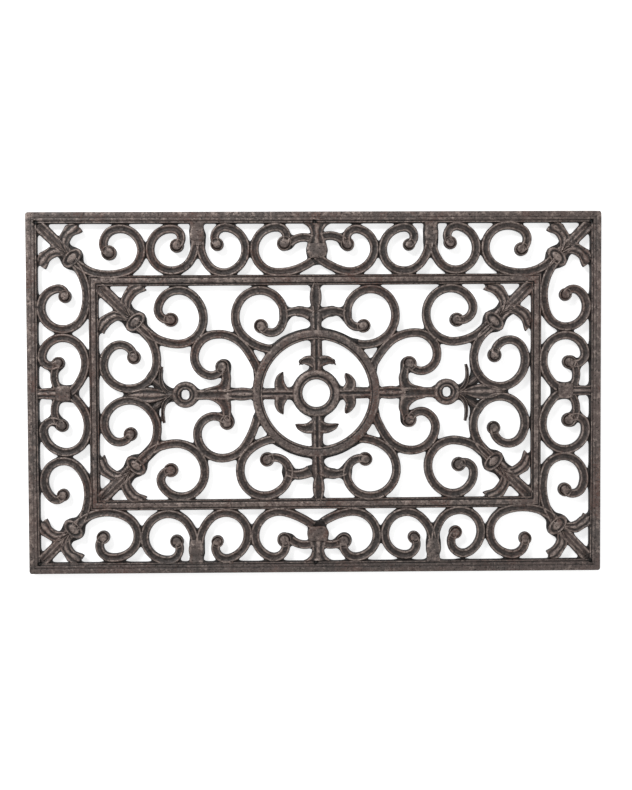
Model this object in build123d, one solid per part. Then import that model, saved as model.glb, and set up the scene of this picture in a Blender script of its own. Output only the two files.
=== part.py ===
from build123d import *
import os
from math import acos, ceil, cos, degrees, radians, sin

# A cast iron boot scraper mat: one openwork casting that lies on six push-in rubber feet.
# X runs along the mat, Y across it and Z up. The origin is on the ground under the middle of the mat.

# Overall sizes, in millimetres
mat_length = 720.0
mat_width = 453.0
corner_radius = 3.5

# The outer rail: a flat land, then a groove, then a thin bead along its inner edge
outer_rail = 14.8
rail_thickness = 9.0
rail_chamfer = 1.2
outer_land = 8.8
rail_groove = 2.8
groove_depth = 1.6

# The inner frame: a raised land with a lower lip along both sides
inner_rail = 12.2
inner_land = 6.4
lip_drop = 1.6

# The clear width of the border between the outer rail and the inner frame
side_border = 62.6
long_border = 64.3

# The scroll bars, their stems, and the round eyes that they curl into
bar_width = 11.4
bar_tip_width = 9.6
scroll_thickness = 7.6
eye_radius = 8.6
stem_width = 11.0
facet_depth = 1.3
eye_sides = 8
oval_sides = 12

# The round and straight members in the middle of the panel
big_ring_radius = 72.8
big_ring_width = 12.8
small_ring_radius = 23.3
small_ring_width = 12.4
ring_chamfer = 1.2
arm_width = 13.6
side_arm_width = 15.6
neck_width = 12.6
side_ring_offset = 164.0
side_ring_bore = 6.5
side_ring_outer = 15.6

# The ties in the border
tie_post_offset = 148.0
tie_post_width = 16.8
tie_post_length = 26.0
middle_tie_width = 27.0
middle_tie_reach = 54.0
middle_tie_depth = 14.0
middle_neck_width = 16.4
side_tie_width = 19.0
side_tie_reach = 41.0
side_tie_depth = 18.0

# The knot at each corner and the fleur that stands on it
knot_length = 32.0
knot_width = 20.5
outer_knot_reach = 22.0
inner_knot_reach = 46.0
petal_width = 13.2
leaf_width = 17.0

# The rubber feet, each with a stem in its hole
foot_inset = 12.4
foot_hole = 4.4
foot_pad = 12.0
pad_sides = 16
foot_height = 5.0
foot_stem_recess = 1.2
foot_stem_clearance = 0.05

# Places that follow from the sizes above
half_length = mat_length / 2
half_width = mat_width / 2
rail_x = half_length - outer_rail
rail_y = half_width - outer_rail
frame_x = rail_x - side_border
frame_y = rail_y - long_border
panel_x = frame_x - inner_rail
panel_y = frame_y - inner_rail
outer_knot = Vector(frame_x + outer_knot_reach, frame_y + outer_knot_reach)
inner_knot = Vector(panel_x - inner_knot_reach, panel_y - inner_knot_reach)
big_ring_outer = big_ring_radius + big_ring_width / 2
small_ring_outer = small_ring_radius + small_ring_width / 2
web_depth = bar_width / 2


def ahead(heading, distance):
    """The step of a distance along a heading in degrees."""
    return Vector(distance * cos(radians(heading)), distance * sin(radians(heading)))


def stations(start, heading, arcs):
    """The points and headings along a chain of tangent arcs, each a (radius, turn in degrees).

    Each arc is cut into chords that leave it by no more than the facet depth."""
    found = [(start, heading)]
    for radius, turn in arcs:
        side = 1 if turn > 0 else -1
        middle = start + ahead(heading + side * 90, radius)
        steps = ceil(abs(turn) / degrees(2 * acos(1 - facet_depth / radius)))
        for step in range(1, steps + 1):
            now = heading + turn * step / steps
            found.append((middle - ahead(now + side * 90, radius), now))
        start, heading = found[-1]
    return found


def bar(start, heading, arcs, width, end_width):
    """A flat bar along a chain of tangent arcs, tapered over its last third."""
    line = stations(start, heading, arcs)
    taper_from = len(line) * 2 / 3
    left = []
    right = []
    for index, (point, now) in enumerate(line):
        share = max(0, index - taper_from) / (len(line) - taper_from)
        half = (width + (end_width - width) * share) / 2
        left.append(point + ahead(now + 90, half))
        right.append(point - ahead(now + 90, half))
    return make_face(Polyline(*left, *reversed(right), close=True))


def scroll(start, heading, arcs):
    """A scroll: a tapered bar that ends in a round eye."""
    eye, _ = stations(start, heading, arcs)[-1]
    disc = Pos(eye) * RegularPolygon(eye_radius, eye_sides)
    return [bar(start, heading, arcs, bar_width, bar_tip_width), disc]


def stem(start, heading, arcs):
    """A short bar of even width that carries a scroll."""
    return bar(start, heading, arcs, stem_width, stem_width)


def patch(*points):
    """A flat web between the given corners."""
    return make_face(Polyline(*points, close=True))


def strap(start, end, width):
    """A straight flat web of a width between two points."""
    side = (end - start).normalized().rotate(Axis.Z, 90) * width / 2
    return patch(start + side, end + side, end - side, start - side)


def block(x0, y0, x1, y1):
    """A flat rectangle between two opposite corners."""
    return patch((x0, y0), (x1, y0), (x1, y1), (x0, y1))


def oval(width, length):
    """A faceted oval, its length along Y."""
    angles = [radians(360 * side / oval_sides) for side in range(oval_sides)]
    return patch(*[(width / 2 * sin(angle), length / 2 * cos(angle)) for angle in angles])


def rail_web(low, high, edge, depth, upright=False):
    """A cast web that fills the wedge between a bar and a rail's edge, along X or, upright, along Y."""
    root = edge - depth / 8
    tip = edge + depth
    slope = abs(depth) / 2
    corners = [(low, root), (high, root), (high - slope, tip), (low + slope, tip)]
    if upright:
        corners = [(y, x) for x, y in corners]
    return patch(*corners)


def petal(knot, offset, heading, arc, hook, swap):
    """A curled petal beside a knot, or its twin across the corner's diagonal."""
    if swap:
        offset = Vector(offset.Y, offset.X)
        hook = Vector(hook.Y, hook.X)
        heading = 90 - heading
        arc = (arc[0], -arc[1])
    end, now = stations(knot + offset, heading, [arc])[-1]
    side = ahead(now + 90, petal_width / 2)
    tip = patch(end + side, end + hook, end - side, end - ahead(now, petal_width))
    return [bar(knot + offset, heading, [arc], petal_width, petal_width), tip]


def fleur(knot, corner, offset, heading, arc, hook):
    """A corner's knot with its middle leaf and its two curled petals."""
    turn_to_corner = Rot(0, 0, 45)
    shapes = [Pos(knot) * turn_to_corner * oval(knot_width, knot_length)]
    shapes.append(strap(knot, corner, leaf_width))
    for swap in (False, True):
        shapes += petal(knot, offset, heading, arc, hook, swap)
    return shapes


def border_scrolls():
    """The six scrolls in one quarter of the border, each from its tie to its eye, and their stems."""
    tie = Vector(tie_post_offset, rail_y)
    side_tie = Vector(rail_x - side_tie_reach, 0)
    middle_tie = Vector(0, rail_y - middle_tie_reach)
    turns = [(54, -43), (64, -33), (26, -107), (38, -40), (17, -138)]
    shapes = scroll(outer_knot + Vector(-0.5, -1.5), -131, turns)
    shapes += scroll(outer_knot + Vector(-1, 1), -132, [(68, 34), (64, 37), (25, 120), (28, 71), (11, 129)])
    shapes += scroll(tie + Vector(3, -11.5), -101, [(49, 43), (27, 93), (26, 50), (28, 84), (13, 147)])
    shapes += scroll(tie + Vector(-2.5, -12), -82, [(49, -48), (27, -83), (28, -62), (28, -76), (14, -132)])
    shapes += scroll(middle_tie + Vector(2.5, 10.5), -36, [(102, 23), (30, 83), (28, 79), (17, 129)])
    shapes += scroll(side_tie + Vector(2, 3), 140, [(55, -33), (36, -57), (26, -59), (25, -87), (11, -127)])
    shapes.append(stem(middle_tie + Vector(36, 27.5), 139, [(28, 66)]))
    shapes.append(stem(side_tie + Vector(17.5, 37), -57, [(28, -66)]))
    return shapes


def panel_scrolls():
    """The four scrolls in one quarter of the panel, each from its root to its eye, and their stems."""
    turns = [(59, -46), (35, -84), (33, -47), (30, -95), (18, -130)]
    shapes = scroll(inner_knot + Vector(-5, -2.5), -126, turns)
    shapes += scroll(inner_knot + Vector(-1.5, -3), -146, [(53, 49), (38, 72), (30, 68), (33, 74), (19, 142)])
    shapes += scroll(Vector(48, 57.2), 0, [(190, 3), (54, 36), (33, 68), (33, 77), (30, 65), (21, 128)])
    shapes += scroll(Vector(71.5, 26), 72, [(106, -20), (42, -51), (30, -80), (23, -65), (16, -90)])
    shapes.append(stem(Vector(38, 100), 144, [(32, 72)]))
    shapes.append(stem(Vector(112.5, 38), -96, [(180, 12)]))
    return shapes


def webs():
    """The cast webs where scrolls meet the rails and one another, each placed from the member it serves."""
    shapes = []
    tie = tie_post_offset
    knot_x, knot_y = outer_knot.X, outer_knot.Y
    rail_spans = ((knot_x, -13, 6), (knot_x, -78, -43), (tie, 20, 50), (tie, -52, -22), (0, 35, 66))
    for base, low, high in rail_spans:
        shapes.append(rail_web(base + low, base + high, rail_y, -web_depth))
    for base, low, high in ((knot_x, -78, -7), (tie, 12, 49), (tie, -53, -17), (0, 18, 65)):
        shapes.append(rail_web(base + low, base + high, frame_y, web_depth))
    for base, low, high in ((inner_knot.X, -9, 12), (inner_knot.X, -73, -34), (0, 50, 88)):
        shapes.append(rail_web(base + low, base + high, panel_y, -web_depth))
    for base, low, high in ((knot_y, -11, 7), (knot_y, -78, -43), (0, 36, 61)):
        shapes.append(rail_web(base + low, base + high, rail_x, -web_depth, upright=True))
    for base, low, high in ((knot_y, -76, -8), (0, 19, 62)):
        shapes.append(rail_web(base + low, base + high, frame_x, web_depth, upright=True))
    for base, low, high in ((inner_knot.Y, -10, 9), (inner_knot.Y, -65, -33)):
        shapes.append(rail_web(base + low, base + high, panel_x, -web_depth, upright=True))
    shapes.append(strap(Vector(rail_x - 38, 78.5), Vector(rail_x - 21, 78.5), web_depth))
    shapes.append(strap(Vector(tie + 63, rail_y - 36), Vector(tie + 66, rail_y - 20), web_depth))
    shapes.append(strap(Vector(tie - 66.5, rail_y - 39), Vector(tie - 66.5, rail_y - 20), web_depth))
    shapes.append(strap(Vector(138.5, 78), Vector(153.5, 59.5), web_depth))
    shapes.append(patch((43, rail_y), (33, rail_y - 17), (38, rail_y - 22), (52, rail_y)))
    return shapes


def ties():
    """The posts and ties that hold the border scrolls together."""
    post_side = tie_post_width / 2
    low_tie = rail_y - middle_tie_reach
    left_tie = rail_x - side_tie_reach
    post_foot = rail_y - tie_post_length
    shapes = [block(tie_post_offset - post_side, post_foot, tie_post_offset + post_side, rail_y + 1)]
    shapes.append(block(0, low_tie, middle_tie_width / 2, low_tie + middle_tie_depth))
    shapes.append(block(0, low_tie, middle_neck_width / 2, rail_y + 1))
    shapes.append(block(left_tie, 0, left_tie + side_tie_depth, side_tie_width / 2))
    shapes.append(block(left_tie, 0, rail_x + 1, neck_width / 2))
    return shapes


def ring_petals(turned):
    """The pair of curled petals on an arm beside the small ring."""
    reach = small_ring_outer + 3
    inner_edge = [(reach, 0), (reach, 6), (reach + 4, 10), (reach + 6, 16), (reach + 6, 24)]
    outer_edge = [(reach + 9, 26.5), (reach + 16, 20), (reach + 18, 13), (reach + 18, 0)]
    petal_shape = patch(*inner_edge, *outer_edge)
    return [turned * petal_shape, turned * mirror(petal_shape, Plane.XZ)]


def centre():
    """The rings, arms, petals and palmette of one quarter of the panel."""
    side_ring = Vector(side_ring_offset, 0)
    ring_side = side_ring_offset - side_ring_outer
    stem_foot = side_ring_offset - 52
    shapes = [Pos(side_ring) * oval(2 * side_ring_outer, 2 * side_ring_outer)]
    shapes.append(block(small_ring_outer - 2, 0, big_ring_outer - 2, arm_width / 2))
    shapes.append(block(0, small_ring_outer - 2, arm_width / 2, panel_y + 1))
    shapes.append(block(big_ring_outer - 2, 0, stem_foot, side_arm_width / 2))
    shapes.append(block(stem_foot, 0, ring_side + 2, neck_width / 2))
    fillet = [(stem_foot, 0), (stem_foot + 30, 6), (stem_foot + 14, 9), (stem_foot + 5, 20)]
    shapes.append(patch(*fillet, (stem_foot, 20)))
    for axis in (0, 90):
        shapes += ring_petals(Rot(0, 0, axis))
    palm = side_ring + Vector(14, 0)
    outline = [palm, palm + Vector(8, 9), palm + Vector(11, 18), palm + Vector(13, 38), palm + Vector(20, 36)]
    shapes.append(patch(*outline, palm + Vector(26, 28), palm + Vector(44, 9), palm + Vector(62, 0)))
    return shapes


def four_ways(shape):
    """A quarter's shape in all four quarters of the mat."""
    half = shape + mirror(shape, Plane.YZ)
    return half + mirror(half, Plane.XZ)


def ring(radius, width):
    """A flat-topped ring with a small chamfer round both top edges."""
    body = Cylinder(radius + width / 2, rail_thickness, align=(Align.CENTER, Align.CENTER, Align.MIN))
    body -= Cylinder(radius - width / 2, rail_thickness, align=(Align.CENTER, Align.CENTER, Align.MIN))
    return chamfer(body.faces().sort_by(Axis.Z)[-1].edges(), ring_chamfer)


def outer_frame():
    """The outer rail with its groove and bead."""
    solid = extrude(RectangleRounded(mat_length, mat_width, corner_radius), rail_thickness)
    solid = chamfer(solid.faces().sort_by(Axis.Z)[-1].edges(), rail_chamfer)
    inset = outer_rail - outer_land
    channel = Rectangle(2 * (rail_x + inset), 2 * (rail_y + inset))
    channel -= Rectangle(2 * (rail_x + inset - rail_groove), 2 * (rail_y + inset - rail_groove))
    solid -= Pos(0, 0, rail_thickness - groove_depth) * extrude(channel, groove_depth)
    return solid - extrude(Rectangle(2 * rail_x, 2 * rail_y), rail_thickness)


def inner_frame():
    """The inner frame with its raised land."""
    lip = (inner_rail - inner_land) / 2
    base = Rectangle(2 * frame_x, 2 * frame_y) - Rectangle(2 * panel_x, 2 * panel_y)
    land = Rectangle(2 * frame_x - 2 * lip, 2 * frame_y - 2 * lip)
    land -= Rectangle(2 * panel_x + 2 * lip, 2 * panel_y + 2 * lip)
    return extrude(base, rail_thickness - lip_drop) + extrude(land, rail_thickness)


def foot_places():
    """The six places where a rubber foot hangs from the mat."""
    places = {}
    for row, y in (("back", half_width - foot_inset), ("front", foot_inset - half_width)):
        places["foot_" + row + "_left"] = Vector(foot_inset - half_length, y)
        places["foot_" + row + "_middle"] = Vector(0, y)
        places["foot_" + row + "_right"] = Vector(half_length - foot_inset, y)
    return places


def casting():
    """The whole mat as one casting, its underside on top of the feet."""
    shapes = border_scrolls() + panel_scrolls() + webs() + ties() + centre()
    outer_corner = Vector(rail_x + 2, rail_y + 2)
    shapes += fleur(outer_knot, outer_corner, Vector(8, 12), 90, (31, 62), Vector(-8, -5))
    inner_corner = Vector(panel_x + 2, panel_y + 2)
    shapes += fleur(inner_knot, inner_corner, Vector(12, 12), 92, (46, 48), Vector(-8, -6))
    quarter = shapes[0] + shapes[1:]
    pattern = four_ways(quarter) - four_ways(Pos(side_ring_offset, 0) * Circle(side_ring_bore))
    pattern -= Circle(small_ring_radius)
    body = extrude(pattern, scroll_thickness)
    body += [outer_frame(), inner_frame(), ring(big_ring_radius, big_ring_width)]
    body += ring(small_ring_radius, small_ring_width)
    for place in foot_places().values():
        body -= Pos(place) * Cylinder(foot_hole / 2, 3 * rail_thickness)
    return Pos(0, 0, foot_height) * body


def foot(place):
    """A rubber foot: a pad under the mat and a stem up into its hole."""
    low = (Align.CENTER, Align.CENTER, Align.MIN)
    pad = extrude(RegularPolygon(foot_pad / 2, pad_sides), foot_height)
    stem_height = foot_height + rail_thickness - foot_stem_recess
    return Pos(place) * (pad + Cylinder(foot_hole / 2 - foot_stem_clearance, stem_height, align=low))


os.makedirs("parts", exist_ok=True)
mat = casting()
print("casting solids", len(mat.solids()), "volume", round(mat.volume))
export_step(mat, "parts/scroll_grille.step")
for name, place in foot_places().items():
    export_step(foot(place), "parts/" + name + ".step")
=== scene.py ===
# %% [markdown]
# # A cast iron boot scraper mat
# The real object is one flat iron casting, poured in a sand mould, that lies on six push-in rubber feet. Its
# surface is all scrollwork: forty scrolls, corner fleurs, rings and leaves inside two rectangular rails. This
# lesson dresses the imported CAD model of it. The CAD model gives the frame, and every piece stays in its box.

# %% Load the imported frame
from math import atan2, ceil, cos, pi, radians, sin

import bmesh
import bpy
import numpy as np
from mathutils import Matrix, Vector


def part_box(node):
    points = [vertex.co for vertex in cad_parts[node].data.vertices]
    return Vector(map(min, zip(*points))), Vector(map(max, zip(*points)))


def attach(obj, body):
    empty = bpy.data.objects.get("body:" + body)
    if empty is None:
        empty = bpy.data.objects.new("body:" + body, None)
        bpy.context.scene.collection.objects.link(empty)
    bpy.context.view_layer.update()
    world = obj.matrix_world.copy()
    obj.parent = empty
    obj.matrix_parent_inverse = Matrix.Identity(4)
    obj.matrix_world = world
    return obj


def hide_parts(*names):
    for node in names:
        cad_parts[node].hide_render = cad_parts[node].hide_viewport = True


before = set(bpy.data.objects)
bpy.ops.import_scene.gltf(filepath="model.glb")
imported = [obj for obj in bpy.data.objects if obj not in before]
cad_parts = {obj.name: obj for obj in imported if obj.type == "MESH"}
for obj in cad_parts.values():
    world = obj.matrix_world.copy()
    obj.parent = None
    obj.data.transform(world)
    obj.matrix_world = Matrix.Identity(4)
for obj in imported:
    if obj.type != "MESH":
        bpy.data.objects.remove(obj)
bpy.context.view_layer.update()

MM = 0.001
low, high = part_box("scroll_grille")
half_length = high.x / MM
half_width = high.y / MM
underside = low.z / MM
top_face = high.z / MM
print("casting", round(2 * half_length), "x", round(2 * half_width), "mm, top at", round(top_face, 1), "mm")

# %% [markdown]
# ## The sizes that the pattern hangs on
# The pattern maker laid the mat out from a few lines: the outer rail, the inner frame and a knot on each
# corner's diagonal. One quarter is drawn and mirrored by its signs in X and Y. It was carved by hand, so what
# differs from quarter to quarter has a value for each, in the order of QUARTERS.

# %% The layout's sizes, in millimetres
outer_rail = 14.8
inner_rail = 12.2
scroll_height = 7.6
bar_half = 5.6
QUARTERS = {"back_left": (-1, 1), "back_right": (1, 1), "front_left": (-1, -1), "front_right": (1, -1)}
OUTER_KNOTS = [(302.6, 169.2), (304.6, 169.4), (304.4, 170.4), (306.0, 169.0)]
INNER_KNOTS = [(224.4, 89.6), (225.6, 89.2), (225.4, 90.6), (224.6, 87.6)]
# How far the two petals at each knot lean
OUTER_LEANS = [(4.4, 2.9), (4.2, 4.6), (4.6, 3.6), (0.2, -2.6)]
INNER_LEANS = [(1.4, -2.6), (2.8, 5.0), (2.4, 3.2), (4.6, 3.4)]
# Each border post's place along the rail, and its girth
POSTS = [(146.8, 0.96), (146.2, 0.89), (150.6, 0.99), (148.6, 0.95)]
print("rails", outer_rail, "and", inner_rail, "mm wide, scroll bars", 2 * bar_half, "by", scroll_height, "mm")

# %% [markdown]
# ## Scrolls as chains of arcs
# A cast scroll isn't a freehand line. Like a wrought one it is a chain of arcs that meet smoothly, each a radius
# and a turn, so that is how each one is written: a start, a heading in degrees, its arcs and the size of its
# eye. A freehand curve would need many more points and would still wobble. Each scroll has a line for each
# quarter, because the four differ by a few millimetres.

# %% The scrolls of each quarter
BORDER_SCROLLS = {
    "corner_long": [
        ((301.5, 168), -130.2,
         [(54.4, -39.3), (66.3, -31.3), (27.7, -118.3), (25.7, -59.3), (19, -70), (12, -66)], 9.8),
        ((299.5, 167.7), -131.9, [(54.2, -45.1), (60, -34.6), (27.1, -132.1), (33, -47.9), (14.4, -118.8)], 9),
        ((303, 167.1), -133.2, [(56.7, -42), (48.9, -35.8), (26.8, -113.4), (32.2, -48), (14.6, -125.3)], 8.7),
        ((307.1, 166.3), -130.4, [(57, -40.7), (67.7, -28.5), (28.5, -112), (30, -43.1), (16.8, -106.1)], 8.5),
    ],
    "post_outer": [
        ((150.2, 202.1), -105.1, [(46.5, 43.4), (27.7, 99.4), (26.3, 53), (25.6, 99), (11.1, 140.5)], 9.1),
        ((148.2, 201.1), -99.6, [(49.4, 45.7), (24.9, 90.7), (28.1, 48.6), (27.8, 82.9), (12, 148.9)], 8.6),
        ((152.5, 201.1), -99.5, [(49.7, 43.1), (30.3, 98.5), (29.9, 54.4), (28.7, 87), (14.3, 126.6)], 8.9),
        ((151.6, 198.3), -101.9, [(49.3, 41.7), (28.8, 85.5), (25.5, 50.1), (30.1, 74.7), (15.1, 170.4)], 8.6),
    ],
    "post_inner": [
        ((142, 197.2), -78.5, [(44.9, -50.2), (24.9, -80.3), (29.9, -67.3), (26.9, -80.1), (12.8, -133.4)], 8.6),
        ((143.8, 201.8), -79.5, [(47.6, -52.3), (27, -83.7), (26.6, -65.3), (28.2, -79), (11.4, -153.6)], 8.0),
        ((146.5, 200.8), -82.2, [(50.6, -49.8), (28, -78.1), (27.1, -60.7), (32, -74.1), (13.7, -141.3)], 8.0),
        ((147.8, 195.7), -84, [(44.1, -54.8), (27.3, -79.8), (28, -64), (26.2, -78.3), (13.5, -127.6)], 8.3),
    ],
    "middle": [
        ((2.8, 165.3), -37.2, [(70.6, 38.2), (29.1, 89.7), (27.4, 92.8), (12.2, 127.1)], 9.7),
        ((2.7, 171), -40.7, [(90.6, 23.9), (31.2, 83.6), (24.9, 102.8), (12.8, 129.6)], 8.9),
        ((3.1, 167.9), -38.3, [(91.8, 24.9), (30.8, 90), (28.5, 83.8), (14.9, 137.2)], 9.6),
        ((10.3, 162.7), -33.6, [(76.2, 26.9), (30.3, 86.6), (28, 95.1), (15.7, 112.5)], 10.0),
    ],
    "corner_side": [
        ((302.8, 166.5), -132.1, [(69.1, 30.9), (62.5, 34), (27.3, 148.7), (24.4, 91), (8, 111.1)], 8.4),
        ((306.7, 167.9), -133.6, [(68.3, 31), (64.5, 34), (25.9, 132.3), (25, 78.2), (10.9, 107)], 8.3),
        ((301.2, 169.5), -128.3, [(72.7, 35.4), (50.2, 43.5), (24.3, 116.6), (27.8, 74), (8.1, 113.8)], 8.2),
        ((305.9, 169.3), -130.7, [(77.6, 29.4), (72.2, 27.8), (24.7, 115.7), (29, 74.7), (12.5, 117.1)], 9),
    ],
    "side_middle": [
        ((306.1, 1.9), 139.3, [(56.3, -31.5), (36.1, -52), (26.4, -56.9), (26.7, -77.7), (11.8, -149.2)], 8.0),
        ((306.6, 4.9), 143.3, [(49.8, -30.2), (35.7, -56.5), (27.2, -55.6), (24.6, -85.1), (12.9, -130)], 8.9),
        ((303.4, 4.1), 140.1, [(53.7, -28.8), (40.2, -52.4), (25.6, -62), (28.6, -80), (12.8, -154.2)], 8.3),
        ((307.6, 2.5), 143.2, [(54.2, -33.8), (37.3, -56), (26.6, -62), (26.1, -95), (12, -125)], 9.2),
    ],
}
PANEL_SCROLLS = {
    "panel_long": [
        ((221, 88.3), -124.8, [(61.9, -52.9), (31.8, -92.7), (38, -51.6), (26.3, -117.4), (13.2, -112.4)], 9.3),
        ((220.3, 87.9), -126, [(58.9, -49), (34.7, -95.4), (33.2, -50.3), (29.4, -106.7), (16.1, -128.4)], 9.3),
        ((221.8, 86.7), -127.1, [(58.9, -52.1), (35.9, -98.3), (31.3, -48.7), (27.8, -96.4), (12.8, -117.7)], 9.3),
        ((219.1, 83.7), -127.3, [(59, -47.7), (32.4, -101.6), (37.4, -52.6), (26.1, -128.4), (11.4, -121.3)], 9.4),
    ],
    "panel_side": [
        ((220.9, 83.2), -145.8, [(51.3, 55), (35.3, 76.4), (32.7, 72.5), (27.9, 81.1), (17.1, 126.7)], 8.9),
        ((224.5, 83.2), -149.7, [(50.1, 46.8), (37.4, 67.4), (30, 68), (34.4, 81.6), (18.7, 157.8)], 9.2),
        ((223.4, 88.3), -147.7, [(53.9, 49.7), (37, 74.5), (32.1, 82.2), (26.7, 77.4), (14.9, 114.4)], 9),
        ((223.6, 82.1), -148.4, [(51.5, 46.6), (36.2, 74.9), (30.6, 69.1), (34.1, 77.3), (18.8, 153.7)], 8.8),
    ],
    "ring_long": [
        ((54.1, 54.8), 4.1, [(55.2, 42.7), (34.7, 78.5), (30, 92.4), (30.9, 82), (14, 126.6)], 9.3),
        ((53.7, 61.2), -13.6, [(39.6, 56), (35.9, 76.6), (30.1, 83.3), (30.1, 80.1), (14.1, 104.1)], 9),
        ((51.1, 58), 5.7, [(55.9, 37.9), (34.3, 70.6), (30.3, 77.6), (31.9, 68.1), (18.8, 129.3)], 9.4),
        ((55.5, 58), -1.4, [(52.5, 37.4), (35.5, 82.7), (32.6, 82.1), (28.5, 74.9), (17.8, 103)], 9.1),
    ],
    "ring_side": [
        ((70.4, 24.6), 72.3, [(105, -21.2), (41, -60.9), (28.6, -78.4), (23.7, -74.5), (14.3, -94.3)], 9.2),
        ((71.6, 31.1), 65.7, [(105.6, -18.5), (48.5, -49.8), (26.9, -87.4), (21.5, -73.1), (16.4, -81.8)], 9.6),
        ((73.1, 31.9), 75.8, [(113.4, -19), (35.1, -54), (31, -88.1), (23, -62), (19.9, -85.6)], 9.6),
        ((75, 27.1), 71.8, [(108.7, -18.6), (37.4, -53.6), (30.5, -83.1), (20.5, -68.7), (15.4, -99.8)], 9.4),
    ],
}
SIDE_STEM = ((322.3, 37), -57, [(28, -66)])
TIE_STEM = ((34, 187.5), 137, [(26, 66)])
ARCH_STEM = ((38.5, 96.5), 142, [(30, 70)])
print(len(BORDER_SCROLLS), "border scrolls and", len(PANEL_SCROLLS), "panel scrolls in each quarter")


# %% Walk along a chain of arcs
def ahead(heading, distance):
    return np.array((distance * cos(radians(heading)), distance * sin(radians(heading))))


def trace(start, heading, arcs, step=2.0):
    """Points about every step along a chain of arcs, and the heading at its end."""
    points = [np.array(start, float)]
    for radius, turn in arcs:
        side = 1 if turn > 0 else -1
        middle = points[-1] + ahead(heading + side * 90, radius)
        count = max(2, ceil(radius * radians(abs(turn)) / step))
        for index in range(1, count + 1):
            now = heading + turn * index / count
            points.append(middle - ahead(now + side * 90, radius))
        heading += turn
    return np.array(points), heading


length = sum(len(trace(*rows[0][:3])[0]) * 2 for rows in {**BORDER_SCROLLS, **PANEL_SCROLLS}.values())
print("one quarter has about", length, "mm of scroll bar")

# %% [markdown]
# ## Iron, made from shader groups
# Bare cast iron has the skin of the sand it was poured in: fine pits, soft lumps, brown-grey oxide, a little
# rust in patches, dirt in the hollows and a paler burnish on the crests that boots rub. The colour paints light
# and shade as well: hollows, pits and webs are darkened as dirt and painted shade, and crests are lightened as
# burnish and painted highlight, with small glints that are painted highlights. Each of those is an effect of its
# own, so each is a shader group with named inputs, and the material puts them together. A painted picture could
# do it too, but nodes stay sharp up close and fit any piece. Crests and hollows come from a "crest" attribute
# that the meshes carry: 1 on a ridge, 0 down a wall.

# %% Helpers that build a shader group
def add_node(tree, kind, settings=(), **inputs):
    """Adds a node. Inputs go by name, with _ for a space, or by place: _0 is the first."""
    node = tree.nodes.new(kind)
    for key, value in dict(settings).items():
        setattr(node, key, value)
    for key, value in inputs.items():
        socket = node.inputs[int(key[1:])] if key[0] == "_" else node.inputs[key.replace("_", " ")]
        if isinstance(value, bpy.types.NodeSocket):
            tree.links.new(value, socket)
        else:
            socket.default_value = value
    return node


def new_group(name, takes, gives):
    """A shader group. takes: (name, kind, default) of each input; gives: (name, kind) of each output."""
    tree = bpy.data.node_groups.new(name, "ShaderNodeTree")
    for label, kind, default in takes:
        socket = tree.interface.new_socket(label, in_out="INPUT", socket_type="NodeSocket" + kind)
        socket.default_value = default
    for label, kind in gives:
        tree.interface.new_socket(label, in_out="OUTPUT", socket_type="NodeSocket" + kind)
    return tree, tree.nodes.new("NodeGroupInput").outputs, tree.nodes.new("NodeGroupOutput").inputs


def place_noise(tree, scale, detail=4.0, roughness=0.55, **more):
    place = add_node(tree, "ShaderNodeTexCoord").outputs["Object"]
    return add_node(tree, "ShaderNodeTexNoise", Vector=place, Scale=scale, Detail=detail, Roughness=roughness,
                    **more).outputs["Fac"]


def ramp(tree, value, low_value, high_value):
    """A soft step from 0 to 1 between two values."""
    return add_node(tree, "ShaderNodeMapRange", {"interpolation_type": "SMOOTHSTEP"}, _0=value, _1=low_value,
                    _2=high_value).outputs[0]


def math_of(tree, operation, a, b):
    return add_node(tree, "ShaderNodeMath", {"operation": operation}, _0=a, _1=b).outputs[0]


def mix_colours(tree, share, a, b):
    return add_node(tree, "ShaderNodeMix", {"data_type": "RGBA"}, _0=share, _6=a, _7=b).outputs[2]


# %% The four effects on bare iron
skin, takes, gives = new_group("sand cast skin", [("Grain size", "Float", 900.0), ("Depth", "Float", 0.5)],
                               [("Normal", "Vector"), ("Pits", "Float")])
grain = place_noise(skin, takes["Grain size"], 5.0, 0.65)
lumps = place_noise(skin, 150.0, 3.0, 0.5)
pits = ramp(skin, place_noise(skin, 430.0, 2.0, 0.5), 0.41, 0.31)
height = math_of(skin, "ADD", math_of(skin, "MULTIPLY", grain, 0.4), math_of(skin, "MULTIPLY", lumps, 1.0))
height = math_of(skin, "SUBTRACT", height, math_of(skin, "MULTIPLY", pits, 0.5))
bumped = add_node(skin, "ShaderNodeBump", Strength=takes["Depth"], Distance=0.0014, Height=height)
skin.links.new(bumped.outputs["Normal"], gives["Normal"])
skin.links.new(pits, gives["Pits"])

# The crest mask is burnish and painted highlight together, and its glints are painted highlights.
wear_and_highlight, takes, gives = new_group("rubbed crests", [("Crest", "Float", 0.0), ("Breakup", "Float", 0.35)],
                               [("Mask", "Float")])
break_up = math_of(wear_and_highlight, "SUBTRACT", place_noise(wear_and_highlight, 170.0, 6.0, 0.68), 0.5)
spread_out = math_of(wear_and_highlight, "MULTIPLY", break_up, math_of(wear_and_highlight, "MULTIPLY", takes["Breakup"], 3.4))
crest_wear_and_highlight = ramp(wear_and_highlight, math_of(wear_and_highlight, "ADD", takes["Crest"], spread_out), 0.5, 1.2)
# Small scattered glints: painted highlights.
painted_glints = math_of(wear_and_highlight, "MULTIPLY", ramp(wear_and_highlight, place_noise(wear_and_highlight, 620.0, 2.0, 0.5), 0.62, 0.74), 0.7)
wear_and_highlight.links.new(math_of(wear_and_highlight, "MAXIMUM", crest_wear_and_highlight, painted_glints), gives["Mask"])

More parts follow.
